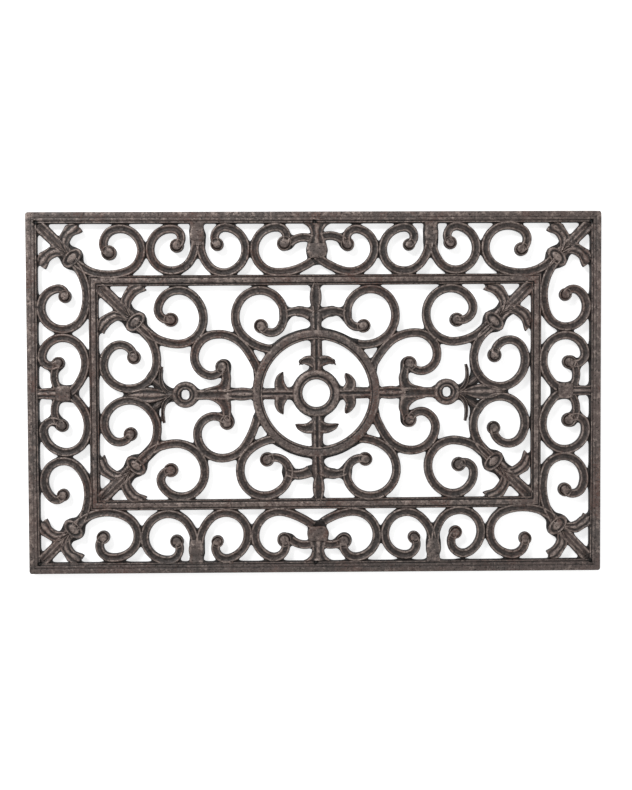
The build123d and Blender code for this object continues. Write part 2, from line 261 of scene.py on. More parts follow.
rust, takes, gives = new_group("rust bloom", [("Amount", "Float", 0.5), ("Patch size", "Float", 26.0)],
                               [("Mask", "Float")])
patch_mask = ramp(rust, place_noise(rust, takes["Patch size"], 5.0, 0.6, Distortion=0.6), 0.48, 0.66)
speck_mask = ramp(rust, place_noise(rust, 480.0, 3.0, 0.6), 0.38, 0.62)
rust.links.new(math_of(rust, "MULTIPLY", math_of(rust, "MULTIPLY", patch_mask, speck_mask), takes["Amount"]),
               gives["Mask"])

# The hollow mask is dirt and painted shade together: it darkens walls, channels and pieces without crest values.
dirt_and_shade, takes, gives = new_group("dirt in the hollows", [("Crest", "Float", 0.0), ("Amount", "Float", 0.8)],
                               [("Mask", "Float")])
dirt_and_shade_breakup = math_of(dirt_and_shade, "MULTIPLY", math_of(dirt_and_shade, "SUBTRACT", place_noise(dirt_and_shade, 180.0, 4.0, 0.6), 0.5), 0.9)
hollow = math_of(dirt_and_shade, "ADD", math_of(dirt_and_shade, "SUBTRACT", 1.0, takes["Crest"]), dirt_and_shade_breakup)
dirt_and_shade.links.new(math_of(dirt_and_shade, "MULTIPLY", ramp(dirt_and_shade, hollow, 0.42, 1.0), takes["Amount"]), gives["Mask"])
print("groups:", [group.name for group in bpy.data.node_groups if group.type == "SHADER"])

# %% The iron itself
BARE_IRON = (0.112, 0.080, 0.070, 1)
OXIDE = (0.082, 0.065, 0.058, 1)
BURNISH_AND_HIGHLIGHT = (0.305, 0.240, 0.210, 1)
RUST_BROWN = (0.125, 0.058, 0.042, 1)
DIRT_AND_SHADE_BLACK = (0.008, 0.005, 0.004, 1)
PIT_BLACK = (0.007, 0.004, 0.003, 1)


def make_iron(name, rust_amount):
    material = bpy.data.materials.new(name)
    material.use_nodes = True
    tree = material.node_tree
    principled = tree.nodes["Principled BSDF"]
    principled.inputs["Metallic"].default_value = 0.2
    principled.inputs["IOR"].default_value = 1.6
    crest = add_node(tree, "ShaderNodeAttribute", {"attribute_name": "crest"}).outputs["Fac"]

    def effect(group, **inputs):
        return add_node(tree, "ShaderNodeGroup", {"node_tree": group}, **inputs).outputs

    skin_out = effect(skin, Grain_size=900.0, Depth=0.85)
    wear_and_highlight_mask = effect(wear_and_highlight, Crest=crest, Breakup=0.9)["Mask"]
    rusted = effect(rust, Amount=rust_amount, Patch_size=22.0)["Mask"]
    dirt_and_shade_mask = effect(dirt_and_shade, Crest=crest, Amount=0.97)["Mask"]
    tint = ramp(tree, place_noise(tree, 14.0, 3.0, 0.5), 0.35, 0.65)
    colour = mix_colours(tree, tint, BARE_IRON, OXIDE)
    # Crests lighten as burnish and painted highlight.
    colour = mix_colours(tree, wear_and_highlight_mask, colour, BURNISH_AND_HIGHLIGHT)
    colour = mix_colours(tree, rusted, colour, RUST_BROWN)
    # Hollows and pits darken as dirt and painted shade.
    colour = mix_colours(tree, dirt_and_shade_mask, colour, DIRT_AND_SHADE_BLACK)
    colour = mix_colours(tree, math_of(tree, "MULTIPLY", skin_out["Pits"], 0.85), colour, PIT_BLACK)
    rough = math_of(tree, "SUBTRACT", 0.54, math_of(tree, "MULTIPLY", wear_and_highlight_mask, 0.18))
    rough = math_of(tree, "ADD", rough, math_of(tree, "MULTIPLY", rusted, 0.2))
    tree.links.new(colour, principled.inputs["Base Color"])
    tree.links.new(rough, principled.inputs["Roughness"])
    tree.links.new(skin_out["Normal"], principled.inputs["Normal"])
    return material


iron = make_iron("bare cast iron", rust_amount=0.8)
print("material:", iron.name, "with", len(iron.node_tree.nodes), "nodes")

# %% [markdown]
# ## A lump of mesh that grows
# Most ornaments are short fluted strips: a petal, a leaf, an arm, a post. A strip is rows of cross-sections
# between a left and a right edge, so one helper makes them all, and a second one makes oval bosses from rings.
# Both add to one lump of vertices, faces and crest values, which becomes a piece at the end. Curves with a bevel
# could make strips too, but their width and section wouldn't be as free.

# %% A lump, and how it becomes a piece
class Lump:
    """Vertices in millimetres, faces and crest values of a piece in the making."""

    def __init__(self):
        self.points, self.faces, self.crests = [], [], []

    def add_rows(self, rows, closed):
        """Joins rows of (x, y, z, crest), each a closed loop, and caps or joins the two ends."""
        first, count = len(self.points), len(rows[0])
        for row in rows:
            self.points += [point[:3] for point in row]
            self.crests += [point[3] for point in row]
        spans = len(rows) if closed else len(rows) - 1
        for i in range(spans):
            a, b = first + i * count, first + (i + 1) % len(rows) * count
            for j in range(count):
                k = (j + 1) % count
                self.faces.append((a + j, a + k, b + k, b + j))
        if not closed:
            self.faces.append(tuple(range(first, first + count))[::-1])
            last = first + spans * count
            self.faces.append(tuple(range(last, last + count)))

    def piece(self, name, material, smooth_angle=45):
        mesh = bpy.data.meshes.new(name)
        mesh.from_pydata([tuple(c * MM for c in point) for point in self.points], [], self.faces)
        mesh.attributes.new("crest", "FLOAT", "POINT").data.foreach_set("value", np.array(self.crests, np.float32))
        return dress(mesh, name, material, smooth_angle)


def dress(mesh, name, material, smooth_angle=45):
    """Gives a mesh outward faces, smooth shading and its material, and links it as an object."""
    work = bmesh.new()
    work.from_mesh(mesh)
    bmesh.ops.recalc_face_normals(work, faces=work.faces)
    work.to_mesh(mesh)
    work.free()
    mesh.shade_smooth()
    mesh.set_sharp_from_angle(angle=radians(smooth_angle))
    mesh.materials.clear()
    mesh.materials.append(material)
    piece = bpy.data.objects.new(name, mesh)
    bpy.context.scene.collection.objects.link(piece)
    print(name, sum(len(polygon.vertices) - 2 for polygon in mesh.polygons), "triangles")
    return piece


print("a lump becomes a piece with", iron.name)

# %% [markdown]
# ## The sections of the bars and leaves
# The maker carved the pattern with a few gouges, so the same cross-sections come back everywhere: two ridges
# with a channel, three ridges, one ridge, a flat top. Each is written once from its edge to its middle, in shares
# of the width and the height, and mirrored. That way one section fits a strip of any size.

# %% Cross-sections from edge to middle, as (share of the width, share of the height, crest)
TWO_RIDGES = [(0, 0.58, 0), (0.02, 0.76, 0.1), (0.07, 0.91, 0.55), (0.13, 0.99, 1), (0.19, 1, 0.9),
              (0.26, 0.93, 0.45), (0.34, 0.83, 0.22), (0.43, 0.78, 0.2), (0.5, 0.77, 0.25)]
CLOSE_RIDGES = [(0, 0.60, 0), (0.02, 0.76, 0.2), (0.08, 0.84, 0.35), (0.2, 0.88, 0.4), (0.28, 0.98, 0.95),
                (0.35, 0.96, 0.8), (0.43, 0.8, 0.1), (0.5, 0.77, 0)]
ONE_RIDGE = [(0, 0.66, 0.05), (0.04, 0.76, 0.3), (0.12, 0.8, 0.35), (0.25, 0.82, 0.3), (0.38, 0.88, 0.5),
             (0.46, 0.97, 0.9), (0.5, 1, 1)]
THREE_RIDGES = [(0, 0.60, 0), (0.03, 0.80, 0.3), (0.08, 0.94, 0.85), (0.14, 0.96, 0.9), (0.23, 0.81, 0.15),
                (0.33, 0.81, 0.15), (0.42, 0.95, 0.85), (0.5, 1, 1)]
FLAT_TOP = [(0, 0.7, 0.05), (0.02, 0.86, 0.4), (0.06, 0.96, 0.8), (0.12, 1, 0.75), (0.3, 1, 0.55), (0.5, 1, 0.5)]


def whole(section):
    """A section with its mirrored half."""
    return section + [(1 - share, height, crest) for share, height, crest in reversed(section[:-1])]


print("points across:", len(whole(TWO_RIDGES)), len(whole(ONE_RIDGE)), len(whole(THREE_RIDGES)))


# %% Strips and bosses
def smoothed(rows, finer=3):
    """Rows of (left, right, height) with more rows between them on a smooth curve through all of them."""
    table = np.array([[*left, *right, tall] for left, right, tall in rows], float)
    padded = np.vstack((2 * table[0] - table[1], table, 2 * table[-1] - table[-2]))
    result = []
    for i in range(1, len(padded) - 2):
        for step in range(finer):
            t = step / finer
            a, b, c, d = padded[i - 1:i + 3]
            result.append(0.5 * (2 * b + (c - a) * t + (2 * a - 5 * b + 4 * c - d) * t * t
                                 + (3 * b - a - 3 * c + d) * t ** 3))
    result.append(table[-1])
    return [(row[0:2], row[2:4], row[4]) for row in result]


def add_strip(lump, rows, section, sign=(1, 1), lift=0.0):
    """rows: (left point, right point, height). The section runs from left to right over each row.
    Its foot is a little narrower, as a mould's draft makes it."""
    loops = []
    drafted = [(0.08, 0, 0), (0, 0.38, 0), *whole(section), (1, 0.38, 0), (0.92, 0, 0)]
    for left, right, tall in rows:
        left, right = np.array(left, float), np.array(right, float)
        loop = [(*(left + (right - left) * share), underside + lift + tall * height, crest)
                for share, height, crest in drafted]
        loops.append([(x * sign[0], y * sign[1], z, crest) for x, y, z, crest in loop])
    lump.add_rows(loops, closed=False)


def add_boss(lump, centre, radii, turn, profile, sign=(1, 1), sides=40, lift=0.0):
    """An oval boss. profile: (share of the radius, height, crest) from the foot to the crown."""
    loops = []
    axis, across = ahead(turn, 1), ahead(turn + 90, 1)
    for share, height, crest in profile:
        loop = []
        for index in range(sides):
            angle = 2 * pi * index / sides
            spot = np.array(centre) + axis * radii[0] * share * cos(angle) + across * radii[1] * share * sin(angle)
            loop.append((spot[0] * sign[0], spot[1] * sign[1], underside + lift + height, crest))
        loops.append(loop)
    lump.add_rows(loops, closed=False)


# %% Members: the lines that the cast webs join later
members = []


def joins(*parts):
    """Notes a member for the webs: its parts as (line, half width)."""
    members.append([(np.atleast_2d(np.array(line, float)), half) for line, half in parts])


def middle_line(rows):
    return np.array([(np.array(left, float) + np.array(right, float)) / 2 for left, right, tall in rows])


def flip(points, sign):
    """Points of the back right quarter, mirrored into the quarter with these signs."""
    return np.array(points, float) * np.array(sign)


print("one end of the back left quarter's side stem:", flip(SIDE_STEM[0], QUARTERS["back_left"]))

# %% [markdown]
# ## The outer rail and the inner frame
# The rim is a moulding: a flat land, a groove and a thin bead. Its corners are mitred, so the rail isn't swept
# along a path, which would pinch them. Each line of the moulding is a four-sided loop of its own, part of the
# way between the rail's outer and inner corners, and neighbouring loops are joined. The corners are given one by
# one, because the real frame lies a millimetre or two askew, as a hand-made pattern does.

# %% The helpers for a mitred moulding
LONG_STEPS, SHORT_STEPS, CORNER_STEPS = 150, 96, 4


def moulding_line(outer, inner, share, radius, bows):
    """One loop, anticlockwise from the front right corner, a share of the way in from outer to inner.
    Its corners are rounded by the radius, and each side bows out by so many millimetres."""
    points = []
    corners = [np.array(a) * (1 - share) + np.array(b) * share for a, b in zip(outer, inner)]
    radius = max(radius * (1 - 3 * share), 0.02)
    for index in range(4):
        here, after = corners[index], corners[(index + 1) % 4]
        middle = here - np.sign(here) * radius
        for step in range(CORNER_STEPS + 1):
            points.append(middle + ahead(-90 + 90 * index + 90 * step / CORNER_STEPS, radius))
        begin = points[-1]
        end = after - np.sign(after) * radius + ahead(90 * index, radius)
        out = ahead(90 * index, bows[index] * share)
        count = LONG_STEPS if index % 2 else SHORT_STEPS
        for step in range(1, count):
            t = step / count
            points.append(begin + (end - begin) * t + out * 4 * t * (1 - t))
    return points


def waver(x, y):
    """A slow hand-made unevenness between about -1.3 and 1.3, the same on every run."""
    return 0.5 * (sin(x * 0.043 + y * 0.017) + sin(x * 0.019 - y * 0.052 + 1.3)
                  + 0.6 * sin(x * 0.131 + y * 0.117))


def rail_lighting(x, y):
    """Painted light and shade: the left rail is made brightest and the front rail dullest, as light falls on them.
    """
    front = min(1, max(0, (-y - 204) / 8))
    left = min(1, max(0, (-x - 338) / 8))
    return 1 - 0.28 * front + 0.12 * left * (1 - front)


def add_moulding(lump, outer, inner, radius, bows, width, profile):
    """profile: (inset, height, crest) from the outer foot over the top to the inner foot."""
    loops = []
    for inset, height, crest in profile:
        line = moulding_line(outer, inner, inset / width, radius, bows)
        uneven = 0.02 * max(0, height - 3)
        # The crest values carry each rail's painted light and shade.
        loops.append([(x, y, underside + height - uneven * abs(waver(x, y)), crest * rail_lighting(x, y)) for x, y in line])
    lump.add_rows(loops, closed=True)


print("left rail against front rail:", round(rail_lighting(-half_length, 0) / rail_lighting(0, -half_width), 2), "times as bright")

# %% Two mitred mouldings
outer_profile = [(1.2, 0, 0), (0.6, 0.8, 0), (0.0, 6.0, 0.05), (0.0, 7.8, 0.15), (0.3, 8.6, 0.5), (0.9, 8.95, 0.7),
                 (1.8, 9.0, 0.66), (4.0, 8.95, 0.62), (6.0, 8.9, 0.62), (6.7, 8.6, 0.4), (7.1, 8.45, 0.25),
                 (7.6, 8.55, 0.4), (8.2, 8.75, 0.62), (10.0, 8.8, 0.6), (10.8, 8.5, 0.5), (11.2, 7.9, 0.15),
                 (11.6, 7.6, 0.05), (12.0, 7.8, 0.25), (12.6, 8.2, 0.85), (13.2, 8.1, 0.8), (13.9, 7.3, 0.2),
                 (14.6, 6.0, 0.05), (14.8, 4.6, 0.0), (14.3, 0.6, 0), (13.8, 0, 0)]
outer_corners = [(half_length, -half_width), (half_length, half_width), (-half_length, half_width),
                 (-half_length, -half_width)]
opening_corners = [(345.6, -211.0), (346.6, 211.9), (-345.4, 211.7), (-345.8, -212.2)]
rail_lump = Lump()
add_moulding(rail_lump, outer_corners, opening_corners, 3.2, (1.1, -0.3, 0.8, 0.5), outer_rail, outer_profile)
outer_rail_piece = rail_lump.piece("outer_rail", iron)

inner_profile = [(0.4, 0, 0), (0.0, 0.6, 0), (0.0, 5.6, 0.05), (0.4, 6.7, 0.3), (1.2, 7.3, 0.75), (1.9, 7.1, 0.4),
                 (2.5, 6.7, 0.0), (3.1, 7.7, 0.3), (3.8, 8.7, 0.85), (4.8, 8.9, 0.7), (7.2, 8.9, 0.6),
                 (8.3, 8.7, 0.85), (8.9, 7.8, 0.3), (9.4, 6.8, 0.0), (10.0, 6.7, 0.05), (10.5, 7.2, 0.5),
                 (11.1, 7.4, 0.85), (11.8, 6.6, 0.3), (12.2, 5.2, 0.05), (11.8, 0.6, 0), (11.3, 0, 0)]
frame_corners = [(284.6, -145.9), (285.2, 148.9), (-282.8, 147.7), (-282.9, -147.4)]
panel_corners = [(271.8, -131.9), (272.2, 135.6), (-270.2, 133.9), (-270.9, -134.0)]
frame_lump = Lump()
add_moulding(frame_lump, frame_corners, panel_corners, 0.4, (0, 0, 0, 0), inner_rail, inner_profile)
inner_frame_piece = frame_lump.piece("inner_frame", iron)
for outer, inner in ((outer_corners, opening_corners), (frame_corners, panel_corners)):
    half = 0.5 * abs(outer[0][0] - inner[0][0])
    for index in range(4):
        ends = [(np.array(outer[k % 4]) + np.array(inner[k % 4])) / 2 for k in (index, index + 1)]
        joins((ends, half - 0.8))

# %% [markdown]
# ## Scroll bars swept by Geometry Nodes
# Forty scrolls share one cross-section: two ridges with a channel between them. That is a path and a profile,
# which is what Geometry Nodes do best. Each path is a line of edges with a "girth" attribute that thins the bar
# towards its eye. The tree turns paths and profile into curves, sweeps one along the other, roughens the surface
# slightly and sets the material. The profile carries the crest values, and the sweep hands them on. The sweep
# turns the profile over, so its heights are written downwards.

# %% Helpers for the trees, and the profile of a bar
def edge_object(name, points, edges, values):
    """A mesh of edges with float attributes, used as the input of a tree."""
    mesh = bpy.data.meshes.new(name)
    mesh.from_pydata([tuple(c * MM for c in point) for point in points], edges, [])
    for label, numbers in values.items():
        mesh.attributes.new(label, "FLOAT", "POINT").data.foreach_set("value", np.array(numbers, np.float32))
    holder = bpy.data.objects.new(name, mesh)
    bpy.context.scene.collection.objects.link(holder)
    return holder


def new_tree(name, takes):
    """An empty tree with these inputs after its Geometry: the tree, its input sockets and its result."""
    tree = bpy.data.node_groups.new(name, "GeometryNodeTree")
    for label, kind in (("Geometry", "Geometry"), *takes.items()):
        tree.interface.new_socket(label, in_out="INPUT", socket_type="NodeSocket" + kind)
    tree.interface.new_socket("Geometry", in_out="OUTPUT", socket_type="NodeSocketGeometry")
    inputs = tree.nodes.new("NodeGroupInput").outputs
    return tree, inputs, tree.nodes.new("NodeGroupOutput").inputs["Geometry"]


def grown(holder, tree, name, inputs):
    """Runs a tree on an object and returns its result as a plain piece."""
    modifier = holder.modifiers.new(name, "NODES")
    modifier.node_group = tree
    for label, value in inputs.items():
        socket = next(item for item in tree.interface.items_tree if item.name == label and item.in_out == "INPUT")
        modifier[socket.identifier] = value
    bpy.context.view_layer.update()
    evaluated = holder.evaluated_get(bpy.context.evaluated_depsgraph_get())
    mesh = bpy.data.meshes.new_from_object(evaluated)
    mesh.name = name
    bpy.data.objects.remove(holder)
    return dress(mesh, name, iron, 50)


profile_points = [(0.9 - bar_half, 0.0, 0), (0.55 - bar_half, -0.5, 0), (-bar_half, -3.2, 0)]
profile_crests = [0, 0, 0]
for share, height, crest in whole(TWO_RIDGES):
    profile_points.append(((share - 0.5) * 2 * bar_half, -height * scroll_height, 0))
    profile_crests.append(crest)
profile_points += [(bar_half, -3.2, 0), (bar_half - 0.55, -0.5, 0), (bar_half - 0.9, 0.0, 0)]
profile_crests += [0, 0, 0]
loop_edges = [(i, (i + 1) % len(profile_points)) for i in range(len(profile_points))]
profile_object = edge_object("bar_profile", profile_points, loop_edges, {"crest": profile_crests})
print("bar profile of", len(profile_points), "points")

# %% The sweep tree
sweep, given, result = new_tree("sweep a fluted bar", {"Profile": "Object", "Width": "Float", "Roughness": "Float",
                                                       "Material": "Material"})
girth = add_node(sweep, "GeometryNodeInputNamedAttribute", {"data_type": "FLOAT"}, Name="girth")
size = add_node(sweep, "ShaderNodeMath", {"operation": "MULTIPLY"}, _0=girth.outputs["Attribute"],
                _1=given["Width"]).outputs[0]
path = add_node(sweep, "GeometryNodeMeshToCurve", Mesh=given["Geometry"]).outputs["Curve"]
upright = add_node(sweep, "GeometryNodeSetCurveNormal", {"mode": "Z_UP"}, Curve=path).outputs["Curve"]
profile_in = add_node(sweep, "GeometryNodeObjectInfo", Object=given["Profile"]).outputs["Geometry"]
profile_curve = add_node(sweep, "GeometryNodeMeshToCurve", Mesh=profile_in).outputs["Curve"]
swept = add_node(sweep, "GeometryNodeCurveToMesh", Curve=upright, Profile_Curve=profile_curve, Scale=size,
                 Fill_Caps=True).outputs["Mesh"]
noise = add_node(sweep, "ShaderNodeTexNoise", Scale=110.0, Detail=2.0)
centred = add_node(sweep, "ShaderNodeVectorMath", {"operation": "SUBTRACT"}, _0=noise.outputs["Color"],
                   _1=(0.5, 0.5, 0.5)).outputs[0]
shift = add_node(sweep, "ShaderNodeVectorMath", {"operation": "SCALE"}, _0=centred, Scale=given["Roughness"])
moved = add_node(sweep, "GeometryNodeSetPosition", Geometry=swept, Offset=shift.outputs[0]).outputs["Geometry"]
real = add_node(sweep, "GeometryNodeRealizeInstances", Geometry=moved).outputs["Geometry"]
painted = add_node(sweep, "GeometryNodeSetMaterial", Geometry=real, Material=given["Material"]).outputs["Geometry"]
sweep.links.new(painted, result)
print("the sweep tree has", len(sweep.nodes), "nodes")

# %% Paths for every scroll, and the bars along them
TIE_SHIFT = 3.0  # the long sides' ties stand this far to the right of the mat's middle
eyes = []


def scroll_path(row, sign):
    """One quarter's scroll: its points and its girth along the way. Its eye is noted."""
    start, heading, arcs, eye_radius = row
    points, final = trace(start, heading, arcs)
    share = np.linspace(0, 1, len(points))
    placed = flip(points, sign)
    joins((placed, bar_half - 0.5), (placed[-1], eye_radius - 1.0))
    way = ahead(final, 1) * np.array(sign)
    hand = sign[0] * sign[1] * (1 if arcs[-1][1] > 0 else -1)
    eyes.append((placed[-1], atan2(way[1], way[0]), hand, eye_radius))
    return placed, 1.01 - 0.03 * np.clip((share - 0.8) / 0.2, 0, 1)


def bars(name, families, stems, rows_wanted):
    """A piece of all the scrolls and stems in the wanted quarters. stems: (line, shift per quarter, girth)."""
    points, edges, girths = [], [], []

    def add(line, girth_here):
        first = len(points)
        points.extend((x, y, underside + 0.15) for x, y in line)
        edges.extend((first + i, first + i + 1) for i in range(len(line) - 1))
        girths.extend(girth_here)

    for index, sign in enumerate(QUARTERS.values()):
        if index not in rows_wanted:
            continue
        for rows in families.values():
            add(*scroll_path(rows[index], sign))
        for stem, shift, thick in stems:
            line = flip(trace(*stem)[0], sign) + np.array(shift[index])
            joins((line, 4.8 * thick))
            add(line, np.full(len(line), thick))
    holder = edge_object(name, points, edges, {"girth": girths})
    return grown(holder, sweep, name,
                 {"Profile": profile_object, "Width": 1.0, "Roughness": 0.0006, "Material": iron})


border_stems = [(SIDE_STEM, [(0, 0), (3, 0), (0, 0), (3, 0)], 0.92),
                (TIE_STEM, [(3, 0), (3, 2.2), (3, 2.4), (3, 2.4)], 1.0)]
scroll_pieces = [bars(name + end, families, stems, rows_wanted)
                 for name, families, stems in (("border_scrolls_", BORDER_SCROLLS, border_stems),
                                               ("panel_scrolls_", PANEL_SCROLLS, []))
                 for end, rows_wanted in (("back", (0, 1)), ("front", (2, 3)))]
print(len(eyes), "eyes and", len(members), "members so far")

# %% [markdown]
# ## The eyes
# Every scroll ends in a round eye: the bar's outer ridge runs on round it as a rim, with a crescent of shadow
# inside the rim and a broad boss in the middle. One eye is modelled from rings of points, and a tree puts a copy
# at each scroll's end, turned to face along its bar and swollen to its own size.

# %% One eye of radius 1 mm, as (share of the radius, height, crest, dip of the crescent)
EYE_SIDES = 36
eye_profile = [(0.96, 0.0, 0, 0), (1.0, 0.5, 0, 0), (1.0, 4.8, 0.05, 0), (0.975, 6.1, 0.3, 0), (0.93, 7.1, 0.8, 0),
               (0.86, 7.4, 1.0, 0), (0.79, 6.9, 0.5, -0.7), (0.72, 6.5, 0.1, -1.3), (0.65, 6.7, 0.2, -0.9),
               (0.57, 7.3, 0.6, -0.1), (0.45, 7.7, 0.85, 0), (0.25, 7.8, 0.8, 0), (0.1, 7.7, 0.7, 0),
               (0.01, 7.65, 0.7, 0)]


def add_eye(lump, hand):
    """An eye of radius 1 mm at the origin. Its crescent is deepest on the side that the bar curls round."""
    rows = []
    for share, height, crest, dip in eye_profile:
        row = []
        for index in range(EYE_SIDES):
            angle = 2 * pi * index / EYE_SIDES
            deep = 0.5 - 0.5 * cos(angle - hand * 1.9)
            # Where the crescent is deep, the crest is lowered too, which paints shade into it.
            row.append((share * cos(angle), share * 0.96 * sin(angle), height + dip * deep,
                        crest * (1 - 0.2 * deep)))
        rows.append(row)
    lump.add_rows(rows, closed=False)


print("an eye has", EYE_SIDES * len(eye_profile), "points")

# %% The tree that puts an eye at each end
place_eyes, given, result = new_tree("put an eye at each end", {"Eye": "Object", "Material": "Material"})
turned = add_node(place_eyes, "GeometryNodeInputNamedAttribute", {"data_type": "FLOAT"}, Name="turn").outputs[0]
spin = add_node(place_eyes, "FunctionNodeAxisAngleToRotation", Axis=(0, 0, 1), Angle=turned).outputs[0]
swell = add_node(place_eyes, "GeometryNodeInputNamedAttribute", {"data_type": "FLOAT"}, Name="swell").outputs[0]
scale = add_node(place_eyes, "ShaderNodeCombineXYZ", X=swell, Y=swell, Z=1.0).outputs[0]
one = add_node(place_eyes, "GeometryNodeObjectInfo", Object=given["Eye"]).outputs["Geometry"]
copies = add_node(place_eyes, "GeometryNodeInstanceOnPoints", Points=given["Geometry"], Instance=one,
                  Rotation=spin, Scale=scale)
real = add_node(place_eyes, "GeometryNodeRealizeInstances", Geometry=copies.outputs[0]).outputs["Geometry"]
painted = add_node(place_eyes, "GeometryNodeSetMaterial", Geometry=real, Material=given["Material"])
place_eyes.links.new(painted.outputs["Geometry"], result)
print("the eye tree has", len(place_eyes.nodes), "nodes")

# %% Forty eyes
eye_pieces = []
for hand, name in ((1, "scroll_eyes_left"), (-1, "scroll_eyes_right")):
    eye_lump = Lump()
    add_eye(eye_lump, hand)
    one_eye = eye_lump.piece("one_eye", iron)
    group = [eye for eye in eyes if eye[2] == hand]
    spots = [(*eye[0], underside + 0.1) for eye in group]
    holder = edge_object(name, spots, [], {"turn": [eye[1] for eye in group], "swell": [eye[3] for eye in group]})
    eye_pieces.append(grown(holder, place_eyes, name, {"Eye": one_eye, "Material": iron}))
    bpy.data.objects.remove(one_eye)
    print(name, len(group), "eyes")
bpy.data.objects.remove(profile_object)

# %% [markdown]
# ## Fleurs, knots and leaves at the corners
# Each corner, of the border and of the panel, has the same little bouquet on its diagonal: an oval knot that ties
# two scrolls together, a lance leaf from the knot into the corner and two petals that curl away from it and end
# in a hooked point against the rail. A petal is drawn once by its two edges, and its twin is the same drawing with
# X and Y changed over.

# %% The knot, and the petals as rows of (one edge, other edge, height) from the knot's middle
KNOT_PROFILE = [(0.94, 0, 0), (1.0, 0.6, 0), (1.0, 5.4, 0.05), (0.97, 7.1, 0.35), (0.91, 8.2, 0.8),
                (0.83, 8.6, 1.0), (0.74, 8.2, 0.6), (0.66, 7.0, 0.05), (0.58, 6.8, 0.0), (0.51, 7.4, 0.3),
                (0.42, 8.4, 0.85), (0.25, 8.8, 0.9), (0.03, 8.8, 0.8)]
OUTER_PETAL = [((7, 8), (-1, 6), 7.9), ((9.5, 13.5), (-0.8, 12), 8), ((12, 19.5), (-0.9, 17.8), 8),
               ((12.8, 24), (-2, 21.5), 8), ((11.6, 28), (-3.6, 24.6), 7.9), ((8.8, 32.4), (-7, 28.4), 7.8),
               ((6, 37), (-10.6, 30.8), 7.7), ((3.6, 41), (-14.2, 32.9), 7.6), ((-2, 43), (-13.8, 34.6), 7.5),
               ((-7.5, 42.6), (-11.6, 38), 7.4)]
INNER_PETAL = [((9, 9), (2, 7), 7.9), ((12, 15), (3.6, 13), 8), ((15.2, 22), (4.4, 19), 8),
               ((16.8, 27), (3.8, 23.5), 8), ((15.8, 31), (2.0, 27), 7.9), ((13.4, 36), (-1.4, 31.6), 7.8),
               ((10.8, 40.5), (-6, 35.4), 7.7), ((8.4, 44.2), (-10.6, 37.6), 7.6), ((3, 46.6), (-14.4, 39.6), 7.5),
               ((-4, 46.4), (-12.4, 42), 7.4), ((-7, 46), (-10.4, 44), 7.3)]
print("petals of", len(OUTER_PETAL), "and", len(INNER_PETAL), "rows")


# %% The corner bouquets
def lens_rows(root, tip, half, tall, power=0.75, count=18):
    """Rows across a pointed leaf between two points."""
    root, tip = np.array(root, float), np.array(tip, float)
    along = tip - root
    across = np.array((-along[1], along[0])) / np.hypot(*along)
    rows = []
    for index in range(count + 1):
        share = index / count
        wide = max(0.25, half * sin(pi * min(max(share, 0.001), 0.999)) ** power)
        spot = root + along * share
        rows.append((spot + across * wide, spot - across * wide, tall * (0.84 + 0.16 * sin(pi * share))))
    return rows


def add_bouquet(lump, knot, corner, petal, leans, strap, sign):
    """The petals curl by one drawing, and lean toward or away from the corner by a few millimetres each."""
    knot, corner = np.array(knot), np.array(corner)
    for swap, lean in zip((False, True), leans):
        rows = []
        for left, right, tall in petal:
            grows = lean * min(1, left[1] / 15)
            pair = [(left[0] + grows, left[1]), (right[0] + grows * (0.25 if right[0] < -9 else 1), right[1])]
            pair = [np.array(point)[::-1] if swap else np.array(point) for point in pair]
            rows.append((knot + pair[0], knot + pair[1], tall))
        rows = smoothed(rows)
        add_strip(lump, rows, THREE_RIDGES, sign, 0.12)
        joins((flip(middle_line(rows)[:-6], sign), 5.4))
    toward = (corner - knot) / np.hypot(*(corner - knot))
    side = np.array((-toward[1], toward[0]))
    span = np.hypot(*(corner - knot))
    band = []
    for index in range(13):
        share = index / 12
        wide = strap * (0.86 + 0.16 * abs(share - 0.45))
        spot = knot + toward * (8 + (span - 9) * share)
        band.append((spot + side * wide, spot - side * wide, 7.0))
    add_strip(lump, band, TWO_RIDGES, sign, 0.08)
    add_strip(lump, lens_rows(knot + toward * 9, knot + toward * (span - 3), 5.0, 8.4), ONE_RIDGE, sign, 0.25)
    joins((flip([knot, knot + toward * span], sign), strap - 1.6))
    add_boss(lump, knot, (9.0, 15.0), 45, KNOT_PROFILE, sign, 44, 0.2)
    end = ahead(135, 5.6)
    joins((flip([knot - end, knot + end], sign), 8.0))


bouquet_lump = Lump()
for index, (sign, corner) in enumerate(zip(QUARTERS.values(), (2, 1, 3, 0))):
    for knots, corners, petal, leans, strap in ((OUTER_KNOTS, opening_corners, OUTER_PETAL, OUTER_LEANS, 8.6),
                                                (INNER_KNOTS, panel_corners, INNER_PETAL, INNER_LEANS, 9.1)):
        spot = [abs(c) for c in corners[corner]]
        add_bouquet(bouquet_lump, knots[index], spot, petal, leans[index], strap, sign)
bouquets = bouquet_lump.piece("corner_bouquets", iron)
print(bouquets.name, len(bouquets.data.vertices), "points")

# %% [markdown]
# ## Rings, arms and the palmettes
# Two rings share the mat's centre and two small ones stand out on its long axis. They are turned shapes, so each
# is a profile taken round a circle. The arms that carry them are fluted strips, with small leaves and pairs of
# curled petals where they meet. On the real mat this whole middle sits a millimetre or two off centre.

# %% Four rings
def settle(x, y):
    """Where the middle of the pattern really lies."""
    return x + 1.5 + 0.002 * x, y - 0.8 + 0.0065 * x


def settled(rows):
    return [(settle(*left), settle(*right), tall) for left, right, tall in rows]


def add_ring(lump, centre, profile, sides=128):
    """profile: (radius, height, crest) from the outer foot over the top to the inner foot."""
    rows = []
    for index in range(sides):
        way = ahead(360 * index / sides, 1)
        rows.append([(centre[0] + way[0] * radius, centre[1] + way[1] * radius, underside + height, crest)
                     for radius, height, crest in profile])
    lump.add_rows(rows, closed=True)


